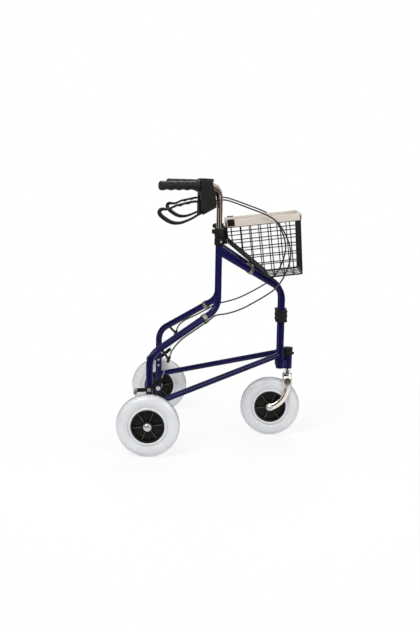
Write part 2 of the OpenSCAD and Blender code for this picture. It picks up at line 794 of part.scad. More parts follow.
module tube_clip_rings(p, q, lug) {
    in_plane() {
        translate([p[0], 0, p[1]]) rotate([0, 90 - slope_angle, 0])
            translate([0, 0, -clip_w / 2]) difference() {
            union() {
                cylinder(h = clip_w, r = tube_r + clip_wall);
                translate([tube_r + clip_wall + cable_r, 0, 0]) cylinder(h = clip_w, r = lug / 2);
                translate([0, -lug / 2, 0]) cube([tube_r + clip_wall + cable_r, lug, clip_w]);
            }
            translate([0, 0, -overrun]) cylinder(h = clip_w + 2 * overrun, r = tube_r + seat_fit);
            translate([tube_r + clip_wall + cable_r, 0, -overrun])
                cylinder(h = clip_w + 2 * overrun, r = cable_r + 2 * free_gap);
        }
        translate([q[0], 0, q[1]]) rotate([0, 90 + strut_angle, 0])
            translate([0, 0, -clip_w / 2]) difference() {
            union() {
                cylinder(h = clip_w, r = tube_r + clip_wall);
                translate([0, 0, clip_w / 2]) rotate([0, -90, 0]) cylinder(h = tube_d * 2, r = clip_w * 0.4);
            }
            translate([0, 0, -overrun]) cylinder(h = clip_w + 2 * overrun, r = tube_r + seat_fit);
        }
    }
}

// Space in front of the basket's sloped panel
module above_slant() {
    d = net_outline[2] - net_outline[1];
    in_basket() translate([0, 0, -basket_back_h]) rotate([0, -atan2(d[1], d[0]), 0])
        translate([-basket_l, -basket_w, -free_gap]) cube([3 * basket_l, 2 * basket_w, basket_l]);
}

// Rear axle, brake and wheel, right side

module rear_axle() {
    inner = -leg_y + tube_r + axle_d * 0.5;
    outer = -wheel_y - hub_w / 2;
    color("#cfccc6") {
        y_bar(rear_x, wheel_r, outer - axle_cap_h, inner, axle_r);
        y_bar(rear_x, wheel_r, outer - free_gap - axle_cap_h, outer - free_gap, axle_cap_d / 2);
        difference() {
            y_bar(rear_x, wheel_r, -wheel_y + hub_w / 2 + free_gap, inner, axle_d * 0.8);
            leg_cut(tube_r + seat_fit);
        }
    }
}

module brake_bolts() {
    head_h = brake_bolt_d * 0.5;
    outer = brake_plane_y - brake_arm_t / 2 - free_gap;
    color("#cfccc6") {
        y_bar(rear_x, brake_pivot_z, outer, -leg_y + tube_r + head_h, brake_bolt_d / 2);
        y_bar(rear_x, brake_pivot_z, outer - head_h, outer, brake_bolt_d * 0.8);
        y_bar(rear_x, brake_pivot_z - brake_bolt_gap, outer, -leg_y + tube_r + head_h, brake_bolt_d / 2);
    }
}

module brake_arm() {
    path = [[shoe_x, shoe_z], [rear_x, brake_pivot_z], [wire_end[0], wire_end[2]]];
    color("#141516") difference() {
        translate([0, brake_plane_y, 0]) flat_bar(path, brake_arm_w, brake_arm_t);
        translate([0, brake_plane_y, 0]) {
            y_bar(rear_x, brake_pivot_z, -tube_d, tube_d, brake_bolt_d / 2 + run_fit);
            y_bar(shoe_x, shoe_z, -tube_d, tube_d, shoe_d / 4 + seat_fit);
        }
    }
}

module brake_shoe() {
    face = brake_plane_y - brake_arm_t / 2;
    color("#a9acb0") {
        y_bar(shoe_x, shoe_z, face - shoe_l, face, shoe_d / 2);
        y_bar(shoe_x, shoe_z, face, brake_plane_y + brake_arm_t / 2, shoe_d / 4);
    }
}

module cable_stop() {
    p = along(main_path, 1, 0.16);
    seat = plane_point(p[0], 0, p[1]);
    color("#141516") difference() {
        union() {
            rod(stop_top, stop_foot, adjuster_d / 2);
            rod(seat, (stop_top + stop_foot) / 2, brake_arm_t);
        }
        in_plane() bent_rod(main_path, frame_bend, tube_r + seat_fit);
    }
}

// Handles, right side

module handle_tube() {
    color("#d9d4cc") in_plane() bent_tube(handle_path, handle_bend, handle_r, handle_wall);
}

module grip() {
    steps = groove_count * 6;
    front = grip_l - flange_w;
    r = grip_d / 2;
    waves = [
        for (i = [0 : steps])
            [r - groove_depth * (1 - cos(360 * groove_count * i / steps)) / 2,
             grip_end_t + (front - grip_end_t) * i / steps]
    ];
    outline = concat(
        [[0, 0], [r - groove_depth, 0]], waves,
        [[r + flange_h, front], [r + flange_h, grip_l], [handle_r + seat_fit, grip_l],
         [handle_r + seat_fit, grip_end_t], [0, grip_end_t]]
    );
    color("#17181a") in_plane() translate([handle_end_u - grip_end_t, 0, grip_z]) rotate([0, 90, 0])
        rotate_extrude() polygon(outline);
}

module brake_housing() {
    plate = [for (p = housing_shares) [housing_u + p[0] * housing_w, grip_z + p[1] * housing_h]];
    slot = [for (p = slot_shares) [housing_u + p[0] * housing_w, grip_z + p[1] * housing_h]];
    lug_u = adjuster_u - lug_r;
    color("#17181a") in_plane() difference() {
        union() {
            outline_plate(plate, housing_t);
            rod([lug_u, adjuster_y, adjuster_z], [adjuster_u + adjuster_l / 2, adjuster_y, adjuster_z], lug_r);
            rod([adjuster_u + adjuster_l / 2, adjuster_y, adjuster_z],
                [adjuster_u + adjuster_l, adjuster_y, adjuster_z], adjuster_d / 2);
        }
        bent_rod(drawn_out(handle_path, housing_w), handle_bend, handle_r + seat_fit);
        outline_plate(slot, lever_slot_w);
        y_bar(lever_pin_u, lever_pin_z, -housing_t, housing_t, lever_pin_d / 2 + seat_fit);
    }
}

module brake_lever() {
    bar = [for (p = lever_shares) [lever_pin_u + p[0] * lever_l, lever_pin_z + p[1] * lever_h]];
    boss = [for (p = lever_boss_shares) [lever_pin_u + p[0] * lever_l, lever_pin_z + p[1] * lever_h]];
    color("#17181a") in_plane() difference() {
        union() {
            bent_rod(bar, lever_bend, lever_bar_d / 2);
            outline_plate(boss, lever_bar_d);
        }
        y_bar(lever_pin_u, lever_pin_z, -lever_bar_d, lever_bar_d, lever_pin_d / 2 + run_fit);
    }
}

module lever_pin() {
    color("#b9bcc0") in_plane() y_bar(lever_pin_u, lever_pin_z, -housing_t / 2, housing_t / 2, lever_pin_d / 2);
}

// Brake cable: out of its adjuster, round the basket, through its clip and into its stop
module brake_cable() {
    lead = plane_point(adjuster_u + adjuster_l + free_gap, adjuster_y, adjuster_z);
    lead_dir = plane_point(1, 0, 0) - plane_point(0, 0, 0);
    clip = along(main_path, 1, 1 - cable_clip_share);
    below = tube_r + clip_wall + cable_r;
    clip_at = plane_point(clip[0] + below * sin(slope_angle), 0, clip[1] - below * cos(slope_angle));
    slope_dir = plane_point(cos(slope_angle), 0, sin(slope_angle)) - plane_point(0, 0, 0);
    route = concat(
        [lead, lead + cable_d * lead_dir], cable_loop,
        [for (k = [3, 1, -1, -4]) clip_at + k * clip_w * slope_dir],
        cable_tail, [stop_top - 4 * cable_d * stop_dir, stop_top - free_gap * stop_dir]
    );
    color("#1a1a1c") {
        swept(curve_points(route, cable_steps), cable_r, cable_sides);
        rod(stop_foot, wire_end - stop_dir * (brake_arm_w / 2 + free_gap), wire_d / 2);
    }
}

// Basket

// Plate of l by w with square gaps
module net(l, w) {
    nx = max(1, round(l / net_pitch));
    ny = max(1, round(w / net_pitch));
    cell_x = (l - net_wire) / nx;
    cell_y = (w - net_wire) / ny;
    difference() {
        cube([l, w, net_wire]);
        for (i = [0 : nx - 1], j = [0 : ny - 1])
            translate([net_wire + i * cell_x, net_wire + j * cell_y, -overrun])
                cube([cell_x - net_wire, cell_y - net_wire, net_wire + 2 * overrun]);
    }
}

// Side of the basket with its gaps cut along its outline
module net_side() {
    rows = round(basket_depth / net_pitch);
    columns = round(basket_l / net_pitch);
    cell_x = basket_l / columns;
    cell_z = basket_depth / rows;
    difference() {
        outline_plate(net_outline, net_wire);
        intersection() {
            outline_plate(inset(net_outline, net_wire), net_wire + 2 * overrun);
            for (i = [0 : columns - 1], j = [0 : rows - 1])
                translate([i * cell_x + net_wire / 2, -net_wire, -(j + 1) * cell_z + net_wire / 2])
                    cube([cell_x - net_wire, 2 * net_wire, cell_z - net_wire]);
        }
    }
}

module basket_net() {
    inner_w = basket_w - 2 * net_wire - 2 * seat_fit;
    trim = net_wire * 1.1;
    color("#111213") in_basket() {
        for (s = [-1, 1]) translate([0, s * (basket_half - net_wire / 2), 0]) net_side();
        for (i = [0 : 3]) {
            p = net_outline[i];
            q = net_outline[i + 1];
            d = q - p;
            translate([p[0], -inner_w / 2, p[1]]) rotate([0, -atan2(d[1], d[0]), 0])
                translate([trim, 0, 0]) net(norm(d) - 2 * trim, inner_w);
        }
    }
}

// Box with round upright edges, from x0 to x1 and half wide each way
module round_box(x0, x1, half, z0, z1, r) {
    translate([x0 + r, -half, z0]) cube([x1 - x0 - 2 * r, 2 * half, z1 - z0]);
    translate([x0, -half + r, z0]) cube([x1 - x0, 2 * half - 2 * r, z1 - z0]);
    for (x = [x0 + r, x1 - r], y = [-half + r, half - r]) translate([x, y, z0]) cylinder(h = z1 - z0, r = r);
}

module basket_tray() {
    slack = 2 * free_gap;
    skin = slack + tray_wall;
    tub = net_wire + slack + tray_wall / 2;
    color("#e8ddd0") in_basket() difference() {
        round_box(-skin, basket_l + skin, basket_half + skin, -tray_skirt, tray_rise, 2 * tray_wall);
        round_box(tub + tray_wall, basket_l - tub - tray_wall - basket_rake * 0.1,
            basket_half - tub - tray_wall, tray_wall - tray_depth, tray_rise + overrun, 2 * tray_wall);
        difference() {
            round_box(-slack, basket_l + slack, basket_half + slack, -tray_skirt - overrun, free_gap, slack);
            round_box(tub, basket_l - tub - basket_rake * 0.1, basket_half - tub, -tray_depth, tray_rise,
                2 * tray_wall);
        }
    }
}

hinge_clamp();
hinge_screws();
head_bracket();
head_tube();
stem_bushes();
head_cap();
caster_fork();
caster_stem();
stem_nuts();
front_axle();
at_front() wheel_rim();  // front_rim
at_front() wheel_tyre();  // front_tyre
at_front() wheel_bearings();  // front_bearings
right() main_tube();  // right_main_tube
left() main_tube();  // left_main_tube
right() upper_strut();  // right_upper_strut
left() upper_strut();  // left_upper_strut
right() lower_strut();  // right_lower_strut
left() lower_strut();  // left_lower_strut
right() tube_plugs();  // right_tube_plugs
left() tube_plugs();  // left_tube_plugs
right() height_collar();  // right_height_collar
left() height_collar();  // left_height_collar
right() height_knob();  // right_height_knob
left() height_knob();  // left_height_knob
right() basket_bracket();  // right_basket_bracket
left() basket_bracket();  // left_basket_bracket
right() tube_clips();  // right_tube_clips
left() tube_clips();  // left_tube_clips
right() cable_stop();  // right_cable_stop
left() cable_stop();  // left_cable_stop
right() rear_axle();  // right_rear_axle
left() rear_axle();  // left_rear_axle
right() brake_bolts();  // right_brake_bolts
left() brake_bolts();  // left_brake_bolts
right() brake_arm();  // right_brake_arm
left() brake_arm();  // left_brake_arm
right() brake_shoe();  // right_brake_shoe
left() brake_shoe();  // left_brake_shoe
right() at_rear() wheel_rim();  // right_rear_rim
left() at_rear() wheel_rim();  // left_rear_rim
right() at_rear() wheel_tyre();  // right_rear_tyre
left() at_rear() wheel_tyre();  // left_rear_tyre
right() at_rear() wheel_bearings();  // right_rear_bearings
left() at_rear() wheel_bearings();  // left_rear_bearings
right() handle_tube();  // right_handle_tube
left() handle_tube();  // left_handle_tube
right() grip();  // right_grip
left() grip();  // left_grip
right() brake_housing();  // right_brake_housing
left() brake_housing();  // left_brake_housing
right() brake_lever();  // right_brake_lever
left() brake_lever();  // left_brake_lever
right() lever_pin();  // right_lever_pin
left() lever_pin();  // left_lever_pin
right() brake_cable();  // right_brake_cable
left() brake_cable();  // left_brake_cable
basket_net();
basket_tray();
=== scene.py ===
"""Three wheel rollator: the looks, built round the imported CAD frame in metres."""

import logging
from dataclasses import dataclass
from enum import Enum
from math import atan2, copysign, cos, exp, hypot, pi, radians, sin, sqrt, tan
from typing import Callable, Iterable, Sequence

import bmesh
import bpy
from mathutils import Matrix, Vector


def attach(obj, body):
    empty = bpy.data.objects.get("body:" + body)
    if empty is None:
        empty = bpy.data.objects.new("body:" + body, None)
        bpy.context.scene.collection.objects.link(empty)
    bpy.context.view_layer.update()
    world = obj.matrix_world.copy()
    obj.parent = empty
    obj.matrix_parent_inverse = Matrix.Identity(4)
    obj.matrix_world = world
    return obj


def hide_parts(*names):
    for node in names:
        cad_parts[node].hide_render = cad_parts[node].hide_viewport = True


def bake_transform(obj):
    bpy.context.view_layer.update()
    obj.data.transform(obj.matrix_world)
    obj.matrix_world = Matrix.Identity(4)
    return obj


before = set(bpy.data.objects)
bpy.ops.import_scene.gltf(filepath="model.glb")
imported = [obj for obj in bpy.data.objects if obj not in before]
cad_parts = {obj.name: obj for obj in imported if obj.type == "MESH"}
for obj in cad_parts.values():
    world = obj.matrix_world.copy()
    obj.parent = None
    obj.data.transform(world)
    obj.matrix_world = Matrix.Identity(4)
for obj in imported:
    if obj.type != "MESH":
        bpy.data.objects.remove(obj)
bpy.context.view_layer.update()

LOG = logging.getLogger("rollator")
MM = 0.001
X_AXIS, Y_AXIS, Z_AXIS = Vector((1, 0, 0)), Vector((0, 1, 0)), Vector((0, 0, 1))
WHEEL_X, WHEEL_Y, WHEEL_Z = 197.5 * MM, 297 * MM, 100 * MM
FACES = (1, -1)
SQUARE = ((-1, -1), (1, -1), (1, 1), (-1, 1))
SHARP_ANGLE, DOUBLES, SLIVERS = radians(38), 1e-6, 1e-7
Point = tuple[float, float, float]
Pair = tuple[float, float]
Pairs = tuple[Pair, ...]
Line = list[Vector]
Shell = tuple[list, list]
Inputs = dict[str | int, object]
Node, Piece, Socket = bpy.types.Node, bpy.types.Object, bpy.types.NodeSocket
Material, Mesh = bpy.types.Material, bpy.types.Mesh


class Side(Enum):
    """A side of the rollator, with the sign of its Y coordinates."""

    RIGHT = -1
    LEFT = 1

    def of(self, part: str) -> str:
        """Name of this side's node, body or piece."""
        return f"{self.name.lower()}_{part}"


def add_node(
    tree: bpy.types.NodeTree, kind: str, inputs: Inputs | None = None, **settings: object,
) -> Node:
    """Adds a node to a tree.

    Args:
        tree: Tree that takes the node.
        kind: Node type name.
        inputs: Sockets to link or plain values to set, by the input's name or place.
        settings: Properties to set on the node.

    Returns:
        The new node.
    """
    node = tree.nodes.new(kind)
    for key, value in settings.items():
        setattr(node, key, value)
    for key, value in (inputs or {}).items():
        if isinstance(value, Socket):
            tree.links.new(value, node.inputs[key])
        else:
            node.inputs[key].default_value = value
    return node


class Shader:
    """A node material under construction."""

    def __init__(self, name: str, values: Inputs | None = None) -> None:
        """Starts a material from a Principled shader.

        Args:
            name: Name of the material.
            values: Plain values of the shader.
        """
        self.material = bpy.data.materials.new(name)
        self.material.use_nodes = True
        self.tree = self.material.node_tree
        self.tree.nodes.clear()
        self.surface = self.add("BsdfPrincipled", values)
        self.out = self.add("OutputMaterial", {"Surface": self.surface.outputs["BSDF"]})
        self.coords = self.add("TexCoord").outputs["Object"]

    def add(self, kind: str, inputs: Inputs | None = None, **settings: object) -> Node:
        """Adds a shader node to the material."""
        return add_node(self.tree, f"ShaderNode{kind}", inputs, **settings)

    def show(self, shader: Socket) -> None:
        """Makes a shader the material's surface."""
        self.tree.links.new(shader, self.out.inputs["Surface"])

    def feed(self, key: str, pattern: Socket) -> None:
        """Links a pattern to an input of the Principled shader."""
        self.tree.links.new(pattern, self.surface.inputs[key])

    def noise(self, scale: float, detail: float, stretch: Point = (1, 1, 1)) -> Socket:
        """Noise pattern.

        Args:
            scale: Features a metre.
            detail: Levels of finer noise.
            stretch: Stretch of the coordinates along each axis.

        Returns:
            The pattern.
        """
        coords = self.add("Mapping", {"Scale": stretch, "Vector": self.coords}).outputs[0]
        inputs = {"Scale": scale, "Detail": detail, "Vector": coords}
        return self.add("TexNoise", inputs).outputs["Fac"]

    def bump(self, height: Socket, strength: float, depth: float, **under: Socket) -> Socket:
        """Adds a bump and makes it the shader's normal.

        Args:
            height: Height pattern.
            strength: Share of the bump that shows.
            depth: Height of the pattern in metres.
            under: As Normal, the normal of a coarser bump below this one.

        Returns:
            The new normal.
        """
        inputs = {"Strength": strength, "Distance": depth, "Height": height, **under}
        normal = self.add("Bump", inputs).outputs["Normal"]
        self.feed("Normal", normal)
        return normal


@dataclass(frozen=True)
class Coat:
    """A finish: two tones and a range of roughness, led by noise."""

    name: str
    slot: str
    dark: Point
    light: Point
    gloss: Pair
    tone_noise: Pair = (24.0, 5.0)
    gloss_noise: tuple = (90.0, 4.0)
    tone_span: Pair = (0.3, 0.7)
    gloss_span: Pair = (0.25, 0.75)

    def start(self, **values: float) -> Shader:
        """Starts the material.

        Args:
            values: Plain values of its shader, with spaces written as underscores.

        Returns:
            The material with its tones and its roughness.
        """
        s = Shader(self.name, {key.replace("_", " "): value for key, value in values.items()})
        tone = s.add("ValToRGB", {"Fac": s.noise(*self.tone_noise)})
        colours = (self.dark, self.light)
        for end, place, colour in zip(tone.color_ramp.elements, self.tone_span, colours):
            end.position, end.color = place, (*colour, 1)
        s.feed("Base Color", tone.outputs["Color"])
        inputs = {"Value": s.noise(*self.gloss_noise), "From Min": self.gloss_span[0],
                  "From Max": self.gloss_span[1], "To Min": self.gloss[0], "To Max": self.gloss[1]}
        s.feed("Roughness", s.add("MapRange", inputs).outputs["Result"])
        return s


@dataclass(frozen=True)
class Enamel(Coat):
    """Gloss enamel on steel tube, with orange peel and slow changes of depth."""

    tone_noise: Pair = (16.0, 5.0)
    gloss_noise: tuple = (70.0, 4.0)
    peel_noise: Pair = (700.0, 1.0)
    peel: Pair = (0.12, 0.0004)
    clear_coat: Pair = (0.12, 0.03)
    specular: float = 0.08

    def build(self) -> Material:
        """Makes the material.

        Returns:
            The material.
        """
        weight, dull = self.clear_coat
        s = self.start(Coat_Weight=weight, Coat_Roughness=dull, Specular_IOR_Level=self.specular)
        s.bump(s.noise(*self.peel_noise), *self.peel)
        return s.material


@dataclass(frozen=True)
class Plate(Coat):
    """Bright plated or bare metal, with fine rub marks."""

    tone_noise: Pair = (55.0, 4.0)
    gloss_noise: tuple = (1.0, 4.0, (40.0, 40.0, 900.0))
    scratch: Pair = (0.05, 0.0002)

    def build(self) -> Material:
        """Makes the material.

        Returns:
            The material.
        """
        s = self.start(Metallic=1.0)
        s.bump(s.noise(*self.gloss_noise), *self.scratch)
        return s.material


@dataclass(frozen=True)
class Moulding(Coat):
    """Moulded plastic or rubber, with a grain, slow waves and perhaps a painted shade on a tyre's
    tread.
    """

    # Places of the colour sockets of a Mix node.
    MIX_A, MIX_B, MIX_OUT = 6, 7, 2
    grain: Point = (1400.0, 0.25, 0.0003)
    wave_noise: Pair = (180.0, 2.0)
    wave: Pair = (0.08, 0.0006)
    clear_coat: Pair = (0.0, 0.12)
    subsurface: Pair = (0.0, 0.004)
    specular: float = 0.3
    # worn: colour of a painted shade on a tyre's tread, darkening its outer edge; None for no
    # shade.
    worn: Point | None = None

    def build(self) -> Material:
        """Makes the material, with a painted shade where the piece's own tread attribute is one.

        Returns:
            The material.
        """
        (weight, dull), (depth, scatter) = self.clear_coat, self.subsurface
        s = self.start(Coat_Weight=weight, Coat_Roughness=dull, Specular_IOR_Level=self.specular,
                       Subsurface_Weight=depth, Subsurface_Scale=scatter)
        # Painted shade: the tread attribute blends the tone towards the darker worn colour.
        if self.worn:
            tread = s.add("Attribute", attribute_name="tread").outputs["Fac"]
            tone = s.surface.inputs["Base Color"].links[0].from_socket
            inputs = {"Factor": tread, self.MIX_A: tone, self.MIX_B: (*self.worn, 1)}
            mix = s.add("Mix", inputs, data_type="RGBA")
            s.feed("Base Color", mix.outputs[self.MIX_OUT])
        scale, strength, height = self.grain
        wave = s.bump(s.noise(*self.wave_noise), *self.wave)
        cells = s.add("TexVoronoi", {"Scale": scale, "Vector": s.coords}).outputs["Distance"]
        s.bump(cells, strength, height, Normal=wave)
        return s.material


@dataclass(frozen=True)
class Sheath(Coat):
    """Cable sheath with the faint spiral of the wire inside."""

    tone_noise: Pair = (60.0, 4.0)
    gloss_noise: tuple = (240.0, 3.0)
    spiral: Point = (160.0, 0.25, 0.0004)
    specular: float = 0.5

    def build(self) -> Material:
        """Makes the material.

        Returns:
            The material.
        """
        s = self.start(Specular_IOR_Level=self.specular)
        scale, strength, height = self.spiral
        bands = s.add("TexWave", {"Scale": scale, "Vector": s.coords}, bands_direction="DIAGONAL")
        s.bump(bands.outputs["Fac"], strength, height)
        return s.material


class Finish(Enum):
    """Every finish of the rollator."""

    ENAMEL = Enamel("navy_enamel", "frame_paint", (0.0034, 0.0032, 0.035), (0.0066, 0.0061, 0.063),
                    (0.12, 0.22))
    FORK = Plate("satin_chrome", "chrome", (0.78, 0.73, 0.66), (0.92, 0.87, 0.79), (0.1, 0.18))
    # Painted dark reflection: a darker copy of the chrome, worn by the handle tubes for the dark
    # surroundings they mirror.
    STEM = Plate("stem_chrome", "chrome", (0.34, 0.29, 0.255), (0.5, 0.43, 0.385), (0.05, 0.12))
    STEEL = Plate("zinc_steel", "steel", (0.55, 0.55, 0.55), (0.74, 0.74, 0.73), (0.22, 0.38),
                  gloss_noise=(1.0, 4.0, (300.0, 300.0, 300.0)))
    CLIP = Plate("olive_zinc", "steel", (0.17, 0.16, 0.125), (0.3, 0.29, 0.24), (0.3, 0.5),
                 gloss_noise=(1.0, 4.0, (260.0, 260.0, 260.0)))
    # The tyre's worn colour is a painted shade: a darker grey on the tread for the tyre's dark
    # outer edge.
    TYRE = Moulding("grey_tyre", "tyre", (0.59, 0.6, 0.62), (0.67, 0.68, 0.7), (0.16, 0.26),
                    grain=(500.0, 0.05, 0.0002), clear_coat=(0.4, 0.12), subsurface=(0.04, 0.004),
                    worn=(0.27, 0.275, 0.285))
    PLASTIC = Moulding("moulded_black", "black_plastic", (0.006, 0.0064, 0.006),
                       (0.012, 0.0125, 0.0115), (0.32, 0.46), grain=(1500.0, 0.16, 0.0003),
                       specular=0.14)
    RIM = Moulding("rim_plastic", "black_plastic", (0.005, 0.0055, 0.0042), (0.012, 0.013, 0.0095),
                   (0.26, 0.4), grain=(900.0, 0.18, 0.0003), specular=0.16)
    # A painted highlight: a paler copy of the rim's black plastic, for the ribs' edges that catch
    # the light.
    RIB = Moulding("rib_plastic", "black_plastic", (0.07, 0.072, 0.064), (0.12, 0.122, 0.11),
                   (0.3, 0.42), grain=(900.0, 0.15, 0.0002))
    GRIP = Moulding("grip_compound", "grip_rubber", (0.0065, 0.0068, 0.006), (0.015, 0.0155, 0.014),
                    (0.4, 0.55), grain=(1100.0, 0.5, 0.0006), specular=0.2)
    WIRE = Moulding("wire_coating", "basket_wire", (0.004, 0.004, 0.004), (0.009, 0.009, 0.0095),
                    (0.24, 0.36), grain=(700.0, 0.15, 0.0002), specular=0.2)
    TRAY = Moulding("cream_plastic", "tray_plastic", (0.515, 0.465, 0.41), (0.56, 0.507, 0.448),
                    (0.36, 0.48), grain=(1300.0, 0.02, 0.0001))
    SHEATH = Sheath("cable_sheath", "cable", (0.012, 0.012, 0.0125), (0.026, 0.026, 0.027),
                    (0.3, 0.45))

    @property
    def material(self) -> Material:
        """The finish's material, made once."""
        return bpy.data.materials.get(self.value.name) or self.value.build()


def metres(pairs: Iterable[Pair]) -> list[Pair]:
    """Pairs of millimetres as pairs of metres."""
    return [(a * MM, b * MM) for a, b in pairs]


def turns(count: int) -> list[float]:
    """Angles of a full turn in equal steps."""
    return [2 * pi * k / count for k in range(count)]


def squared(value: float, power: float = 0.7) -> float:
    """Sine or cosine pushed outwards, for a section between an oval and a rectangle."""
    return copysign(abs(value) ** power, value)


def link_object(name: str, data: bpy.types.ID) -> Piece:
    """Puts a mesh, lamp or camera into the scene at the origin.

    Args:
        name: Name of the object.
        data: Its mesh, lamp or camera.

    Returns:
        The new object.
    """
    made = bpy.data.objects.new(name, data)
    bpy.context.scene.collection.objects.link(made)
    return made


def new_mesh(name: str, points: Iterable, edges: Sequence, faces: Sequence) -> Mesh:
    """Makes a mesh.

    Args:
        name: Name of the mesh.
        points: Points in metres.
        edges: Numbers of each edge's points.
        faces: Numbers of each face's points.

    Returns:
        The new mesh.
    """
    mesh = bpy.data.meshes.new(name)
    mesh.from_pydata([tuple(p) for p in points], edges, faces)
    return mesh


def close_up(mesh: Mesh) -> None:
    """Merges doubles, turns faces outwards and smooths a mesh up to its sharp edges.

    Args:
        mesh: Mesh to change.
    """
    work = bmesh.new()
    work.from_mesh(mesh)
    bmesh.ops.remove_doubles(work, verts=work.verts, dist=DOUBLES)
    bmesh.ops.dissolve_degenerate(work, edges=work.edges, dist=SLIVERS)
    bmesh.ops.recalc_face_normals(work, faces=work.faces)
    work.to_mesh(mesh)
    work.free()
    mesh.shade_smooth()
    mesh.set_sharp_from_angle(angle=SHARP_ANGLE)


def join_parts(name: str, shells: Iterable[Shell], finish: Finish) -> Piece:
    """Joins closed shells into one piece.

    Args:
        name: Name of the piece.
        shells: Points and faces of each shell.
        finish: Finish that the piece wears.

    Returns:
        The new piece.
    """
    points, faces = [], []
    for shell_points, shell_faces in shells:
        start = len(points)
        points += shell_points
        faces += [tuple(i + start for i in face) for face in shell_faces]
    mesh = new_mesh(name, points, [], faces)
    close_up(mesh)
    mesh.materials.append(finish.material)
    return link_object(name, mesh)


def declare(piece: Piece, finish: Finish, *nodes: str) -> None:
    """Hides the CAD nodes that a piece stands for, and logs the piece.

    Args:
        piece: Piece to declare.
        finish: Not used.
        nodes: CAD nodes that it stands for.
    """
    if nodes:
        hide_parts(*nodes)
    LOG.info("%s: %d faces", piece.name, len(piece.data.polygons))


def settle(piece: Piece, finish: Finish, body: str, *nodes: str) -> None:
    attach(piece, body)
    declare(piece, finish, *nodes)


def make(name: str, shells: Iterable[Shell], finish: Finish, body: str, *nodes: str) -> None:
    """Makes a piece from closed shells and settles it.

    Args:
        name: Name of the piece.
        shells: Points and faces of each shell.
        finish: Finish that the piece wears.
        body: CAD body that carries it.
        nodes: CAD nodes that it stands for.
    """
    settle(join_parts(name, shells, finish), finish, body, *nodes)


def lathe(
    outline: Sequence[Pair], centre: Vector, axis: Vector, mark: Vector, steps: int,
    shape: Callable[[float, float, float], float] | None = None,
) -> Shell:
    """Turns a closed outline about an axis.

    Args:
        outline: Radius and distance along the axis of each corner, in metres.
        centre: Point of the axis at distance zero.
        axis: Direction of the axis.
        mark: Direction of the turn's start, across the axis.
        steps: Number of stops in a full turn.
        shape: Gives the radius from the radius, the distance and the angle.

    Returns:
        Points and faces of the turned shell.
    """
    along = axis.normalized()
    first = (mark - along * mark.dot(along)).normalized()
    second = along.cross(first)
    count = len(outline)
    points, faces = [], []
    for k, angle in enumerate(turns(steps)):
        ray = first * cos(angle) + second * sin(angle)
        for radius, distance in outline:
            reach = shape(radius, distance, angle) if shape and radius > 0 else radius
            points.append(centre + along * distance + ray * reach)
        a, b = k * count, (k + 1) % steps * count
        for i in range(count):
            j = (i + 1) % count
            if outline[i][0] > 0 or outline[j][0] > 0:
                faces.append((a + i, a + j, b + j, b + i))
    return points, faces


def loft(rings: Sequence[Line]) -> Shell:
    """Skins closed rings of equal length in turn, and caps the first and the last.

    Args:
        rings: Rings of points.

    Returns:
        Points and faces of the skinned shell.
    """
    size, last = len(rings[0]), len(rings) - 1
    points = [p for ring in rings for p in ring]
    faces: list = [tuple(range(size))[::-1], tuple(range(last * size, (last + 1) * size))]
    for k in range(last):
        a, b = k * size, (k + 1) * size
        for i in range(size):
            j = (i + 1) % size
            faces.append((a + i, a + j, b + j, b + i))
    return points, faces


def eased(points: Sequence[Vector], radius: float, steps: int = 5, closed: bool = False) -> Line:
    """Rounds the corners of a line of points.

    Args:
        points: Corners of the line.
        radius: Bend radius of each corner.
        steps: Points in each bend.
        closed: Whether the last point joins the first.

    Returns:
        Points of the rounded line.
    """
    longest = 0.49
    made: Line = []
    for i, p in enumerate(points):
        if not closed and i in (0, len(points) - 1):
            made.append(p.copy())
            continue
        before, after = points[i - 1] - p, points[(i + 1) % len(points)] - p
        turn = pi - before.angle(after)
        cut = min(radius * tan(turn / 2), before.length * longest, after.length * longest)
        a, b = p + before.normalized() * cut, p + after.normalized() * cut
        for t in (k / steps for k in range(steps + 1)):
            made.append(a * (1 - t) ** 2 + p * (2 * t * (1 - t)) + b * t ** 2)
    return made


def smooth_line(points: Sequence[Vector], steps: int) -> Line:
    """Smooth curve through points.

    Args:
        points: Points that the curve passes.
        steps: Parts between two of them.

    Returns:
        Points of the curve.
    """
    made: Line = []
    last = len(points) - 1
    for i in range(last):
        a, b, c, d = points[max(i - 1, 0)], points[i], points[i + 1], points[min(i + 2, last)]
        for t in (k / steps for k in range(steps)):
            made.append(0.5 * (2 * b + (c - a) * t + (2 * a - 5 * b + 4 * c - d) * t ** 2
                               + (3 * b - a - 3 * c + d) * t ** 3))
    return made + [points[last].copy()]


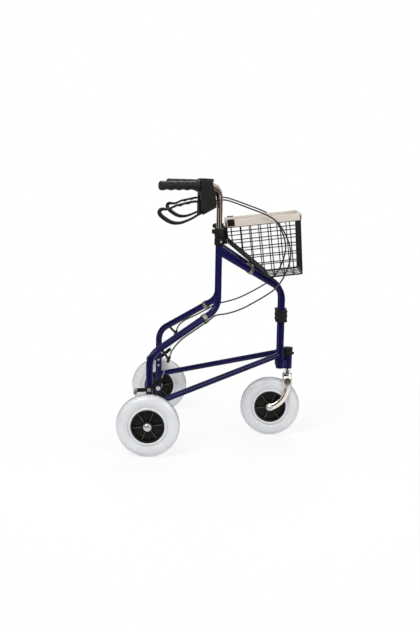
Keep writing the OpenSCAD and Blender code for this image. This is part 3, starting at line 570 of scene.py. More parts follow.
class NodeRig:
    """A geometry node tree with named sizes."""

    def __init__(self, name: str, sizes: dict[str, str]) -> None:
        """Starts a tree with inputs for its geometry, its sizes and its finish.

        Args:
            name: Name of the tree.
            sizes: Kind of each named size.
        """
        self.tree = bpy.data.node_groups.new(name, "GeometryNodeTree")
        self.keys: dict[str, str] = {}
        sockets = self.tree.interface
        for label, kind in {"Geometry": "Geometry", **sizes, "Finish": "Material"}.items():
            made = sockets.new_socket(name=label, in_out="INPUT", socket_type=f"NodeSocket{kind}")
            self.keys[label] = made.identifier
        sockets.new_socket(name="Geometry", in_out="OUTPUT", socket_type="NodeSocketGeometry")
        self.size = add_node(self.tree, "NodeGroupInput").outputs

    def add(self, kind: str, inputs: Inputs, **settings: object) -> Socket:
        """Adds a geometry node to the tree and gives its first output."""
        return add_node(self.tree, f"GeometryNode{kind}", inputs, **settings).outputs[0]

    def close(self, geometry: Socket) -> None:
        """Ends the tree with plain meshes that wear the Finish input.

        Args:
            geometry: Last geometry of the tree.
        """
        real = self.add("RealizeInstances", {"Geometry": geometry})
        worn = self.add("SetMaterial", {"Geometry": real, "Material": self.size["Finish"]})
        add_node(self.tree, "NodeGroupOutput", {"Geometry": worn})

    def grow(self, mesh: Mesh, finish: Finish, sizes: dict[str, float]) -> Piece:
        """Runs the tree on a mesh and keeps the plain result.

        Args:
            mesh: Mesh that feeds the tree and names the piece.
            finish: Finish that the piece wears.
            sizes: Values of the named inputs.

        Returns:
            The new piece.
        """
        piece = link_object(mesh.name, mesh)
        rig = piece.modifiers.new("rig", "NODES")
        rig.node_group = self.tree
        for name, value in {**sizes, "Finish": finish.material}.items():
            rig[self.keys[name]] = value
        piece.update_tag()
        graph = bpy.context.evaluated_depsgraph_get()
        graph.update()
        grown = bpy.data.meshes.new_from_object(piece.evaluated_get(graph), depsgraph=graph)
        piece.modifiers.clear()
        piece.data = grown
        close_up(grown)
        return piece


class WireRig(NodeRig):
    """Round wire along every line of the seed mesh."""

    def __init__(self) -> None:
        """Builds the tree: line, round profile, wire."""
        super().__init__("wire_along_lines", {"Wire Radius": "Float", "Wire Sides": "Int"})
        line = self.add("MeshToCurve", {"Mesh": self.size["Geometry"]})
        profile = self.add("CurvePrimitiveCircle", {
            "Resolution": self.size["Wire Sides"], "Radius": self.size["Wire Radius"]})
        self.close(self.add("CurveToMesh", {
            "Curve": line, "Profile Curve": profile, "Fill Caps": True}))

    def run(
        self, name: str, lines: Iterable[Line], radius: float, finish: Finish, sides: int = 8,
        closed: bool = False,
    ) -> Piece:
        """Makes one piece of wire lines.

        Args:
            name: Name of the piece.
            lines: Points of each line.
            radius: Radius of the wire.
            finish: Finish of the wire.
            sides: Sides of the wire's profile.
            closed: Whether each line joins its own start.

        Returns:
            The new piece.
        """
        points, edges = [], []
        for line in lines:
            start, stop = len(points), len(points) + len(line) - 1
            points += line
            edges += [(i, i + 1) for i in range(start, stop)]
            if closed:
                edges.append((stop, start))
        mesh = new_mesh(name, points, edges, [])
        return self.grow(mesh, finish, {"Wire Radius": radius, "Wire Sides": sides})


class BoltRig(NodeRig):
    """A bolt head on a washer at every point of the seed mesh, facing the way its point says."""

    SIZES = ("Head Radius", "Head Height", "Washer Radius", "Washer Height")
    WASHER_SIDES = 28
    TAPER = 0.86

    def __init__(self) -> None:
        """Builds the tree: washer, tapered head, copies at the points."""
        floats = dict.fromkeys(self.SIZES, "Float")
        super().__init__("bolts_at_points", {**floats, "Head Sides": "Int"})
        radius, height, washer_radius, washer_height = (self.size[name] for name in self.SIZES)
        washer = self.add("MeshCylinder", {
            "Radius": washer_radius, "Depth": washer_height, "Vertices": self.WASHER_SIDES})
        inputs = {0: radius, 1: self.TAPER}
        taper = add_node(self.tree, "ShaderNodeMath", inputs, operation="MULTIPLY").outputs[0]
        head = self.add("MeshCone", {
            "Vertices": self.size["Head Sides"], "Radius Top": taper, "Radius Bottom": radius,
            "Depth": height})
        both = self.add("JoinGeometry", {"Geometry": washer})
        self.tree.links.new(head, both.node.inputs[0])
        facing = self.add("InputNamedAttribute", {"Name": "facing"}, data_type="FLOAT_VECTOR")
        inputs = {"Vector": facing}
        turn = add_node(self.tree, "FunctionNodeAlignRotationToVector", inputs, axis="Z")
        self.close(self.add("InstanceOnPoints", {
            "Points": self.size["Geometry"], "Instance": both, "Rotation": turn.outputs[0]}))

    def run(
        self, name: str, places: Sequence[tuple[Vector, Vector]], finish: Finish,
        sizes: Sequence[float], sides: int = 6,
    ) -> Piece:
        """Makes one piece of bolt heads.

        Args:
            name: Name of the piece.
            places: Seat and facing of each bolt.
            finish: Finish of the bolts.
            sizes: Radius and height of a head, then of its washer.
            sides: Sides of a head.

        Returns:
            The new piece.
        """
        mesh = new_mesh(name, [seat for seat, _ in places], [], [])
        facing = mesh.attributes.new("facing", "FLOAT_VECTOR", "POINT")
        facing.data.foreach_set("vector", [x for _, way in places for x in way])
        return self.grow(mesh, finish, {**dict(zip(self.SIZES, sizes)), "Head Sides": sides})


@dataclass
class Wheel:
    """A wheel: smooth tyre with a stepped bead, lips on the rim and domed axle caps."""

    label: str
    body: str
    carrier: str
    centre: Vector
    cap_faces: tuple[float, ...]
    cap_radius: float
    wires: WireRig
    section_centre: float = 79 * MM
    section_radius: float = 21 * MM
    section_sweep: float = 122.0
    section_steps: int = 34
    bead: Pairs = (
        (65.5, 17.5), (63.8, 16.6), (62.7, 15.2), (61.9, 14.8), (61.2, 15.6), (60.6, 17.4),
        (59.7, 18.8), (58.4, 19.3), (56.0, 19.3), (54.4, 18.7), (53.3, 17.5), (53.05, 16.2))
    lip: Pairs = (
        (52.95, 15.2), (52.95, 16.6), (52.2, 17.6), (50.6, 17.9), (49.0, 17.2), (48.4, 15.2))
    dome: Pairs = (
        (0, -0.04), (1, -0.04), (1, 0.09), (0.9, 0.18), (0.62, 0.25), (0.36, 0.27), (0.32, 0.21),
        (0, 0.2))
    dome_steps: int = 40
    rib_count: int = 6
    rib_start: float = 8.0
    rib_span: Pair = (17.5 * MM, 46.5 * MM)
    rib_face: float = 12.6 * MM
    rib_radius: float = 0.9 * MM
    groove_angle: float = 30.0
    groove_depth: float = 0.5 * MM
    groove_width: float = 2.2
    # Radii over which the painted shade on the tread fades in.
    painted_shade_span: Pair = (96.6 * MM, 99.7 * MM)
    steps: int = 112

    def turned(self, outline: Sequence[Pair]) -> Shell:
        """Outline turned about the wheel's axle."""
        return lathe(outline, self.centre, Y_AXIS, Z_AXIS, self.steps)

    def tread(self) -> list[Pair]:
        """Half of the tyre's outline, from the crown to the bead.

        Returns:
            Radius and distance along the axle of each corner.
        """
        half = []
        for k in range(self.section_steps + 1):
            angle = self.section_sweep * k / self.section_steps
            off = (angle - self.groove_angle) / self.groove_width
            reach = self.section_radius - self.groove_depth * exp(-off ** 2)
            turn = radians(angle)
            half.append((self.section_centre + reach * cos(turn), reach * sin(turn)))
        return half + metres(self.bead)

    def build_tyre(self) -> None:
        """Turns the tyre, marks where its tread takes a painted shade and seats it on the wheel."""
        half = self.tread()
        shell = self.turned(half + [(r, -y) for r, y in reversed(half[1:])])
        tyre = join_parts(f"{self.label}_smooth_tyre", [shell], Finish.TYRE)
        # The tread attribute rises from zero to one across the outer few millimetres of radius,
        # where the painted shade lies.
        start, stop = self.painted_shade_span
        tread = tyre.data.attributes.new("tread", "FLOAT", "POINT")
        for vertex, mark in zip(tyre.data.vertices, tread.data):
            reach = hypot(vertex.co.x - self.centre.x, vertex.co.z - self.centre.z)
            mark.value = min(max((reach - start) / (stop - start), 0), 1)
        settle(tyre, Finish.TYRE, self.body, f"{self.label}_tyre")

    def build_rim(self) -> None:
        """Turns the lips on both edges of the rim and lays paler bars on its ribs, a painted
        highlight for their lit edges.
        """
        lips = [self.turned([(r, face * y) for r, y in metres(self.lip)]) for face in FACES]
        make(f"{self.label}_rim_lips", lips, Finish.RIM, self.body)
        lines = []
        for k in range(self.rib_count):
            angle = radians(self.rib_start + 360 * k / self.rib_count)
            ray = X_AXIS * cos(angle) + Z_AXIS * sin(angle)
            for face in FACES:
                seat = self.centre + Y_AXIS * (face * self.rib_face)
                lines.append([seat + ray * r for r in self.rib_span])
        # The bars wear the painted highlight, paler than the rim.
        ribs = self.wires.run(f"{self.label}_rim_ribs", lines, self.rib_radius, Finish.RIB)
        settle(ribs, Finish.RIB, self.body)

    def build(self) -> None:
        """Makes the tyre, the rim's trim and the domed caps on the ends of the axle."""
        self.build_tyre()
        self.build_rim()
        outline = [(r * self.cap_radius, a * self.cap_radius) for r, a in self.dome]
        caps = [lathe(outline, self.centre + Y_AXIS * face, Y_AXIS * copysign(1, face), Z_AXIS,
                      self.dome_steps) for face in self.cap_faces]
        make(f"{self.label}_axle_caps", caps, Finish.STEEL, self.carrier)


@dataclass
class Fork:
    """The caster's fork: two rounded blades in wide sockets, joined over the wheel."""

    stem_x: float = 254 * MM
    leg_y: float = 30 * MM
    bend_z: float = 177 * MM
    bend_radius: float = 80.7 * MM
    bend_steps: int = 30
    sweep: float = 72.55
    eye_radius: float = 11 * MM
    eye_steps: int = 6
    eye_close: float = 6.2
    taper_steps: int = 8
    blade: Pair = (9.8 * MM, 3.9 * MM)
    socket: Pair = (15 * MM, 4.4 * MM)
    socket_step: float = 0.4 * MM
    top_z: float = 209.8 * MM
    shoulder: float = 12 * MM
    shoulder_steps: int = 8
    crown: Pairs = ((0, 0), (15, 0), (16, 1), (16, 12), (15, 12.9), (0, 12.9))
    crown_z: float = 201 * MM
    crown_steps: int = 40
    sides: int = 24

    def ring(self, middle: Vector, across: Vector, out: Vector, half: Pair) -> Line:
        """Oval section about a middle, with half its width across and half its thickness out."""
        return [middle + across * (half[0] * cos(t)) + out * (half[1] * sin(t))
                for t in turns(self.sides)]

    def blade_rings(self, sign: int) -> list[Line]:
        """Sections of one blade.

        Args:
            sign: Sign of the blade's Y coordinates.

        Returns:
            Rings from the eye up and over the shoulder.
        """
        width, thick = self.blade
        out = Y_AXIS * sign
        pivot = Vector((self.stem_x - self.bend_radius, sign * self.leg_y, self.bend_z))
        rings = []
        for step in range(-self.eye_steps, self.bend_steps + 1):
            along, beyond = max(step, 0), max(-step, 0)
            turn = radians(self.sweep * (1 - along / self.bend_steps))
            radial = Vector((cos(turn), 0, -sin(turn)))
            past = self.eye_radius * sin(pi / 2 * beyond / self.eye_close)
            middle = pivot + radial * self.bend_radius + Vector((-sin(turn), 0, -cos(turn))) * past
            swell = sqrt(self.eye_radius ** 2 - past ** 2)
            half = swell + (width - swell) * min(along / self.taper_steps, 1)
            rings.append(self.ring(middle, radial, out, (half, thick)))
        start_z = self.top_z - self.shoulder
        for z, half in ((self.bend_z, self.blade), (self.bend_z + self.socket_step, self.socket),
                        (start_z, self.socket)):
            middle = Vector((self.stem_x, sign * self.leg_y, z))
            rings.append(self.ring(middle, X_AXIS, out, half))
        base = Vector((self.stem_x, sign * (self.leg_y - self.shoulder), start_z))
        for step in range(1, self.shoulder_steps + 1):
            turn = pi / 2 * step / self.shoulder_steps
            bow = Vector((0, sign * cos(turn), sin(turn)))
            rings.append(self.ring(base + bow * self.shoulder, X_AXIS, bow, self.socket))
        return rings

    def build(self) -> None:
        """Lofts the fork over the wheel and turns its crown."""
        near, far = self.blade_rings(-1), self.blade_rings(1)
        far = [[ring[-k % self.sides] for k in range(self.sides)] for ring in reversed(far)]
        seat = Vector((self.stem_x, 0, self.crown_z))
        crown = lathe(metres(self.crown), seat, Z_AXIS, X_AXIS, self.crown_steps)
        make("rounded_fork", [loft(near + far), crown], Finish.FORK, "caster", "caster_fork")


@dataclass
class SidePart:
    """A sub-assembly of one side, placed along, across and above the splayed side frame."""

    side: Side
    wires: WireRig
    bolts: BoltRig
    hinge_x: float = 227 * MM
    hinge_y: float = 25 * MM
    upright_x: float = 14 * MM
    leg_y: float = 244.5 * MM

    def __post_init__(self) -> None:
        """Finds the frame's directions, and the upright's and the leg's places from the hinge."""
        splay = atan2(self.leg_y - self.hinge_y, self.hinge_x + WHEEL_X)
        self.ahead = Vector((cos(splay), -self.side.value * sin(splay), 0))
        self.inboard = Vector((-sin(splay), -self.side.value * cos(splay), 0))
        self.upright_u = (self.upright_x - self.hinge_x) / cos(splay)
        self.leg_u = (-WHEEL_X - self.hinge_x) / cos(splay)
        self.of = self.side.of

    def at(self, u: float, inboard: float, z: float) -> Vector:
        """Point at a distance from the hinge, towards the middle and up."""
        foot = Vector((self.hinge_x, self.side.value * self.hinge_y, z))
        return foot + self.ahead * u + self.inboard * inboard

    def set_bolts(
        self, name: str, seats: Iterable[Point], finish: Finish, body: str,
        sizes: Sequence[float], sides: int = 6,
    ) -> None:
        """Sets bolt heads on both faces of the side.

        Args:
            name: Name of the piece, without its side.
            seats: Distance from the hinge, reach to the face and height of each pair.
            finish: Finish of the bolts.
            body: Body that carries them, without its side.
            sizes: Radius and height of a head, then of its washer.
            sides: Sides of a head.
        """
        places = [(self.at(u, face * reach, z), self.inboard * face)
                  for u, reach, z in seats for face in FACES]
        heads = self.bolts.run(self.of(name), places, finish, sizes, sides)
        settle(heads, finish, self.of(body))


@dataclass
class Handle(SidePart):
    """One handle: grip with finger hollows, height knob, brake lever and housing screws."""

    steps: int = 48
    grip_start_u: float = -449.81 * MM
    grip_length: float = 134 * MM
    grip_radius: float = 14.7 * MM
    grip_rows: int = 44
    grip_ends: Pair = (5 * MM, 10.4 * MM)
    grip_z: float = 844 * MM
    bore: Pair = (9.6 * MM, 4.3 * MM)
    end_shape: Pairs = ((0, 0), (9.5, 0.1), (12.4, 0.9), (14.0, 2.6))
    flange_shape: Pairs = (
        (15.6, 9.2), (17.6, 7.6), (18.2, 5.6), (18.2, 3.0), (17.4, 0.9), (15.5, 0))
    finger_depth: float = 2.6 * MM
    finger_count: int = 4
    finger_margin: float = 12 * MM
    thumb_share: float = 0.2
    knob_z: float = 700 * MM
    knob_back: float = 24.3 * MM
    knob_shape: Pairs = (
        (0, 0), (5.2, 0), (6.9, 0.9), (7.4, 2.6), (7.4, 7.2), (6.4, 9), (3, 9), (3, 14), (0, 14))
    knob_lobes: int = 6
    lobe_depth: float = 0.06
    lobe_from: float = 5 * MM
    housing_u: float = -289.29 * MM
    housing_width: float = 55 * MM
    housing_height: float = 108 * MM
    housing_half: float = 14 * MM
    screw_shares: Pairs = ((0.06, -0.05), (0.3, -0.52))
    screw_sizes: tuple[float, ...] = (2.6 * MM, 1.4 * MM, 3.4 * MM, 0.8 * MM)
    screw_sides: int = 12
    lever_path: tuple[Point, ...] = (
        (-306, 793, 4), (-320, 795, 4), (-338, 794, 3.8), (-360, 789.5, 3.5), (-378, 785.5, 3.7),
        (-392, 782.5, 3.4), (-405, 777, 3.4), (-416, 772.5, 3.8), (-428, 771.5, 4.4),
        (-438, 772, 5.2), (-446, 769, 5.8), (-449.5, 761.5, 6.2), (-444, 752, 6.6),
        (-429, 741, 6.8), (-411.5, 732, 6.4), (-394, 728, 5.6), (-373, 729.5, 4.6),
        (-352, 736, 3.8), (-332, 744.5, 3.5), (-318, 752.5, 3.6), (-306, 758, 4))
    lever_steps: int = 4
    lever_sides: int = 20
    lever_half: float = 5 * MM
    lever_bumps: Pair = (-352.0, -379.0)
    bump_above: float = 780.0
    bump_depth: float = 2.4
    bump_width: float = 5.0
    boss: Pairs = ((-283.2, 778.2), (-298.8, 799), (-317.6, 797), (-317.6, 750.8), (-298.8, 758.8))

    def finger_hollow(self, radius: float, distance: float, angle: float) -> float:
        """Radius of the grip, hollowed under the fingers.

        Args:
            radius: Plain radius.
            distance: Distance from the grip's end.
            angle: Angle from the top.

        Returns:
            The radius with the hollows.
        """
        share = (distance - self.finger_margin) / (self.grip_length - 2 * self.finger_margin)
        if not -MM <= radius - self.grip_radius <= MM / 2 or not 0 < share < 1:
            return radius
        under = self.thumb_share + (1 - self.thumb_share) * (0.5 - 0.5 * cos(angle))
        return radius - self.finger_depth * under * sin(pi * self.finger_count * share) ** 2

    def build_grip(self) -> None:
        """Turns the grip over the end of the handle tube."""
        start, stop = self.grip_ends[0], self.grip_length - self.grip_ends[1]
        bore, bore_end = self.bore
        outline = metres(self.end_shape)
        outline += [(self.grip_radius, start + (stop - start) * k / self.grip_rows)
                    for k in range(self.grip_rows + 1)]
        outline += [(r, self.grip_length - a) for r, a in metres(self.flange_shape)]
        outline += [(bore, self.grip_length), (bore, bore_end), (0, bore_end)]
        end = self.at(self.grip_start_u, 0, self.grip_z)
        shell = lathe(outline, end, self.ahead, Z_AXIS, self.steps, self.finger_hollow)
        make(self.of("moulded_grip"), [shell], Finish.GRIP, self.of("handle"), self.of("grip"))

    def lobed(self, radius: float, distance: float, angle: float) -> float:
        """Radius of the knob with its finger lobes."""
        lobe = self.lobe_depth * cos(self.knob_lobes * angle)
        return radius * (1 + lobe) if radius > self.lobe_from else radius

    def build_knob(self) -> None:
        """Turns the height knob behind the collar."""
        face = self.at(self.upright_u, 0, self.knob_z) - self.ahead * self.knob_back
        shell = lathe(metres(self.knob_shape), face, self.ahead, Z_AXIS, self.steps, self.lobed)
        make(self.of("lobed_knob"), [shell], Finish.PLASTIC, self.of("knob"),
             self.of("height_knob"))

    def lever_rings(self) -> list[Line]:
        """Oval sections along the lever's loop, thicker at the finger bumps.

        Returns:
            Rings of points.
        """
        line = smooth_line([Vector(p) for p in self.lever_path], self.lever_steps)
        rings = []
        for i, p in enumerate(line):
            way = (line[min(i + 1, len(line) - 1)] - line[max(i - 1, 0)]).xy.normalized()
            out = Vector((-way.y, way.x))
            offs = [(p.x - middle) / self.bump_width for middle in self.lever_bumps]
            bump = self.bump_depth * max(exp(-off ** 2) for off in offs)
            ring = []
            for angle in turns(self.lever_sides):
                raised = cos(angle) > 0 and p.y > self.bump_above
                thick = p.z + bump if raised else p.z
                foot = (p.xy + out * (thick * squared(cos(angle)))) * MM
                ring.append(self.at(foot.x, self.lever_half * squared(sin(angle)), foot.y))
            rings.append(ring)
        return rings

    def build_lever(self) -> None:
        """Lofts the loop of the brake lever and its boss inside the housing."""
        boss = [[self.at(u, face * self.lever_half, z) for u, z in metres(self.boss)]
                for face in reversed(FACES)]
        make(self.of("lever_loop"), [loft(self.lever_rings()), loft(boss)], Finish.PLASTIC,
             self.of("lever"), self.of("brake_lever"))

    def build(self) -> None:
        """Makes every piece of the handle, with the screws that close the brake housing."""
        self.build_grip()
        self.build_knob()
        self.build_lever()
        seats = [(self.housing_u + share_u * self.housing_width, self.housing_half,
                  self.grip_z + share_z * self.housing_height)
                 for share_u, share_z in self.screw_shares]
        self.set_bolts("housing_screws", seats, Finish.PLASTIC, "handle", self.screw_sizes,
                       self.screw_sides)


@dataclass
class SideFrame(SidePart):
    """One side frame: weld beads, brake bolts and the brake cable with its ferrules."""

    tube_radius: float = 11 * MM
    weld_radius: float = 1.7 * MM
    weld_steps: int = 44
    strut_z: Pair = (636 * MM, 504 * MM)
    brace_z: Pair = (151 * MM, 283 * MM)
    strut_radius: float = 10.6 * MM
    brace_radius: float = 9.5 * MM
    bolt_y: float = 264.1 * MM
    bolt_z: float = 206 * MM
    bolt_sizes: tuple[float, ...] = (5.4 * MM, 3.2 * MM, 6.2 * MM, 0.8 * MM)
    bracket_radius: float = 14.9 * MM
    bracket_z: float = 667 * MM
    clip_share: float = 0.8
    clip_radius: float = 13.4 * MM
    clip_z: float = 422.4 * MM
    screw_sizes: tuple[float, ...] = (2.7 * MM, 1.6 * MM, 3.6 * MM, 1.6 * MM)
    route: tuple[Point, ...] = (
        (-0.42, -127.28, 799.72), (4.02, -124.98, 799.72), (21, -117, 800), (44, -120, 797),
        (78, -127, 786), (112, -130, 774), (146, -130, 762), (174, -130, 750), (196, -130, 735),
        (214, -130, 714), (230, -130, 686), (241, -130, 657), (245, -130, 629), (241, -130, 600),
        (231, -130, 570), (218, -130, 544), (200, -131, 520), (176, -133, 501), (132, -138, 474),
        (86, -143, 450), (44, -143, 436), (9.22, -137.60, 428.49), (-11.07, -148.09, 415.25),
        (-31.35, -158.59, 402.01), (-61.79, -174.32, 382.15), (-92, -200, 364), (-110, -222, 350),
        (-127.0, -246.48, 330.32), (-133.56, -248.77, 311.88))
    route_steps: int = 6
    sheath_radius: float = 2.5 * MM
    sheath_sides: int = 12
    cable_stretch: float = 100 * MM
    inner_wire: tuple[Point, ...] = ((-140.32, -251.12, 292.88), (-157.40, -257.07, 244.90))
    inner_steps: int = 12
    inner_radius: float = 1 * MM
    inner_sides: int = 10
    ferrule: Pairs = ((2.52, 0), (3.1, 0), (3.5, 0.5), (3.5, 7.5), (3.1, 8.4), (2.52, 8.8))
    ferrule_steps: int = 28
    ferrule_lead: int = 3

    def mirrored(self, points: Iterable[Point]) -> Line:
        """Right-side points in millimetres as this side's points in metres."""
        return [Vector((x, -self.side.value * y, z)) * MM for x, y, z in points]

    def weld_line(self, start: Pair, end: Pair, radius: float) -> Line:
        """Closed line where a slanted tube meets an upright one.

        Args:
            start: Place along the frame and height where the two axes cross.
            end: Place along the frame and height of the slanted tube's other end.
            radius: Radius of the slanted tube.

        Returns:
            Points of the line.
        """
        run, rise = end[0] - start[0], end[1] - start[1]
        way = (self.ahead * run + Z_AXIS * rise).normalized()
        lift = way.cross(self.inboard)
        foot = self.at(start[0], 0, start[1])
        line = []
        for angle in turns(self.weld_steps):
            aside = radius * sin(angle)
            out = lift * (radius * cos(angle)) + self.inboard * aside
            reach = copysign(1, run) * sqrt(self.tube_radius ** 2 - aside ** 2)
            line.append(foot + out + way * ((reach - out.dot(self.ahead)) / way.dot(self.ahead)))
        return line

    def build_welds(self) -> None:
        """Lays the weld beads where the struts meet the tubes."""
        upright, hinge = (self.upright_u, self.strut_z[0]), (0, self.strut_z[1])
        leg, head = (self.leg_u, self.brace_z[0]), (0, self.brace_z[1])
        lines = [self.weld_line(upright, hinge, self.strut_radius),
                 self.weld_line(leg, head, self.brace_radius),
                 self.weld_line(head, leg, self.brace_radius)]
        name, finish = self.of("weld_beads"), Finish.ENAMEL
        beads = self.wires.run(name, lines, self.weld_radius, finish, closed=True)
        settle(beads, finish, self.of("frame"))

    def build_bolts(self) -> None:
        """Sets the heads on the brake pivot, and the screws of basket bracket and cable clip."""
        out = self.side.value
        seat = Vector((-WHEEL_X, out * self.bolt_y, self.bolt_z))
        name, finish = self.of("brake_bolt_heads"), Finish.STEEL
        head = self.bolts.run(name, [(seat, Y_AXIS * out)], finish, self.bolt_sizes)
        settle(head, finish, self.of("frame"))
        clip_u = self.leg_u + self.clip_share * (self.upright_u - self.leg_u)
        seats = ((self.upright_u, self.bracket_radius, self.bracket_z),
                 (clip_u, self.clip_radius, self.clip_z))
        self.set_bolts("frame_screws", seats, finish, "frame", self.screw_sizes)

    def build_cable(self) -> None:
        """Lays the brake cable from the lever housing past the cable stop to the brake arm."""
        handle_body, frame_body = self.of("handle"), self.of("frame")
        path = smooth_line(self.mirrored(self.route), self.route_steps)
        sheath = self.wires.run(self.of("cable_sheath"), [path], self.sheath_radius,
                                Finish.SHEATH, self.sheath_sides)
        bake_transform(sheath)
        declare(sheath, Finish.SHEATH, self.of("brake_cable"))
        top, foot = self.mirrored(self.inner_wire)
        wire = self.wires.run(self.of("inner_wire"), [smooth_line([top, foot], self.inner_steps)],
                              self.inner_radius, Finish.STEEL, self.inner_sides)
        self.of("brake")
        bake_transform(wire)
        declare(wire, Finish.STEEL)
        for name, line, body in (("upper_ferrule", path, handle_body),
                                 ("lower_ferrule", path[::-1], frame_body)):
            way = line[self.ferrule_lead] - line[0]
            shell = lathe(metres(self.ferrule), line[0], way, X_AXIS, self.ferrule_steps)
            make(self.of(name), [shell], Finish.STEEL, body)

    def build(self) -> None:
        """Makes every piece of the side frame."""
        self.build_welds()
        self.build_bolts()
        self.build_cable()


@dataclass
class Basket:
    """The hanging basket of coated wire."""

    wires: WireRig
    rear_x: float = 33 * MM
    rear_z: float = 728 * MM
    tilt: float = 7.0
    half_width: float = 108 * MM
    outline: Pairs = ((0, 0), (0, -68), (122, -194), (233, -194), (244, 0))
    hoop_first: float = 0.065
    hoop_step: float = 0.137
    hoop_count: int = 7
    band_first: float = 32.6 * MM
    band_pitch: float = 27.5 * MM
    band_count: int = 6
    runner_pitch: float = 43 * MM
    wire_radius: float = 1.7 * MM
    wire_sides: int = 8
    rod_radius: float = 2.4 * MM
    rod_sides: int = 10
    corner: float = 13 * MM
    corner_steps: int = 6
    fold: float = 9 * MM
    drop: float = 2.5 * MM

    def at(self, x: float, y: float, z: float) -> Vector:
        """A point of the tilted basket in the shared frame.

        Args:
            x: Distance from the back.
            y: Place across.
            z: Height over the rim.

        Returns:
            The point.
        """
        turn = radians(self.tilt)
        return Vector((self.rear_x + x * cos(turn) - z * sin(turn), y,
                       self.rear_z + x * sin(turn) + z * cos(turn)))

    def inset(self, gap: float) -> list[Pair]:
        """Side outline moved inwards.

        Args:
            gap: Distance from the outline.

        Returns:
            Corners from the top at the back round to the top at the front.
        """
        corners = [Vector(p) for p in metres(self.outline)]
        edges = [(a, (b - a).normalized()) for a, b in zip(corners, corners[1:])]
        rim = (Vector((0, -self.drop)), Vector((1, 0)))
        moved = [rim] + [(a + Vector((-d.y, d.x)) * gap, d) for a, d in edges] + [rim]
        made = []
        for (a, d), (b, e) in zip(moved, moved[1:]):
            t = ((b.x - a.x) * e.y - (b.y - a.y) * e.x) / (d.x * e.y - d.y * e.x)
            made.append((a.x + d.x * t, a.y + d.y * t))
        return made

    def floor_z(self, line: Sequence[Pair], x: float) -> float:
        """Height of the lower edge of an outline.

        Args:
            line: Corners of the outline.
            x: Distance from the back.

        Returns:
            The height.
        """
        for (ax, az), (bx, bz) in zip(line[1:], line[2:]):
            if ax <= x <= bx and bx > ax:
                return az + (bz - az) * (x - ax) / (bx - ax)
        return line[1][1]

    def span_at(self, line: Sequence[Pair], z: float) -> Pair:
        """Length of an outline at a height.

        Args:
            line: Corners of the outline.
            z: The height.

        Returns:
            Distances of its back and its front.
        """
        crossings = [ax + (bx - ax) * (z - az) / (bz - az)
                     for (ax, az), (bx, bz) in zip(line, line[1:])
                     if min(az, bz) <= z <= max(az, bz) and az != bz]
        return min(crossings), max(crossings)

    def lengthwise(self, line: Sequence[Pair], y: float) -> Line:
        """Wire that goes down the back, along the floor and up the front."""
        return eased([self.at(x, y, z) for x, z in line], self.fold)

    def level_ring(self, span: Pair, half: float, z: float) -> Line:
        """Wire that goes round the basket level with its rim.

        Args:
            span: Distances of its back and its front.
            half: Half of its width.
            z: Its height.

        Returns:
            Points of the wire.
        """
        back, front = span
        corners = ((back, -half), (front, -half), (front, half), (back, half))
        return eased([self.at(x, y, z) for x, y in corners], self.corner, self.corner_steps, True)

    def hoops(self, line: Sequence[Pair], half: float) -> list[Line]:
        """Wires that go down one side, across and up the other.

        Args:
            line: Corners of the side outline.
            half: Half of the width.

        Returns:
            Points of each wire.
        """
        made = []
        first, length = line[0][0], line[-2][0] - line[0][0]
        for k in range(self.hoop_count):
            x = first + length * (self.hoop_first + self.hoop_step * k)
            low = self.floor_z(line, x)
            corners = ((-half, -self.drop), (-half, low), (half, low), (half, -self.drop))
            made.append(eased([self.at(x, y, z) for y, z in corners], self.fold))
        return made

    def build(self) -> None:
        """Makes the wires and rods of the basket."""
        line, half = self.inset(self.wire_radius), self.half_width - self.wire_radius
        count = int((half - self.corner) / self.runner_pitch)
        runners = [self.lengthwise(line, k * self.runner_pitch) for k in range(-count, count + 1)]
        heights = [-self.band_first - k * self.band_pitch for k in range(self.band_count)]
        bands = [self.level_ring(self.span_at(line, z), half, z) for z in heights]
        rod_line, rod_half = self.inset(self.rod_radius), self.half_width - self.rod_radius
        rods = [self.lengthwise(rod_line, y) for y in (-rod_half, rod_half)]
        rods += [[self.at(x, -rod_half, z), self.at(x, rod_half, z)] for x, z in rod_line[1:-1]]
        rim = self.level_ring((rod_line[0][0], rod_line[-1][0]), rod_half, rod_line[0][1])
        wire, rod = (self.wire_radius, self.wire_sides), (self.rod_radius, self.rod_sides)
        for name, lines, (radius, sides), closed, nodes in (
                ("basket_wires", self.hoops(line, half) + runners, wire, False, ("basket_net",)),
                ("basket_bands", bands, wire, True, ()),
                ("basket_edge_rods", rods, rod, False, ()),
                ("basket_rim_rod", [rim], rod, True, ())):
            piece = self.wires.run(name, lines, radius, Finish.WIRE, sides, closed)
            settle(piece, Finish.WIRE, "basket", *nodes)


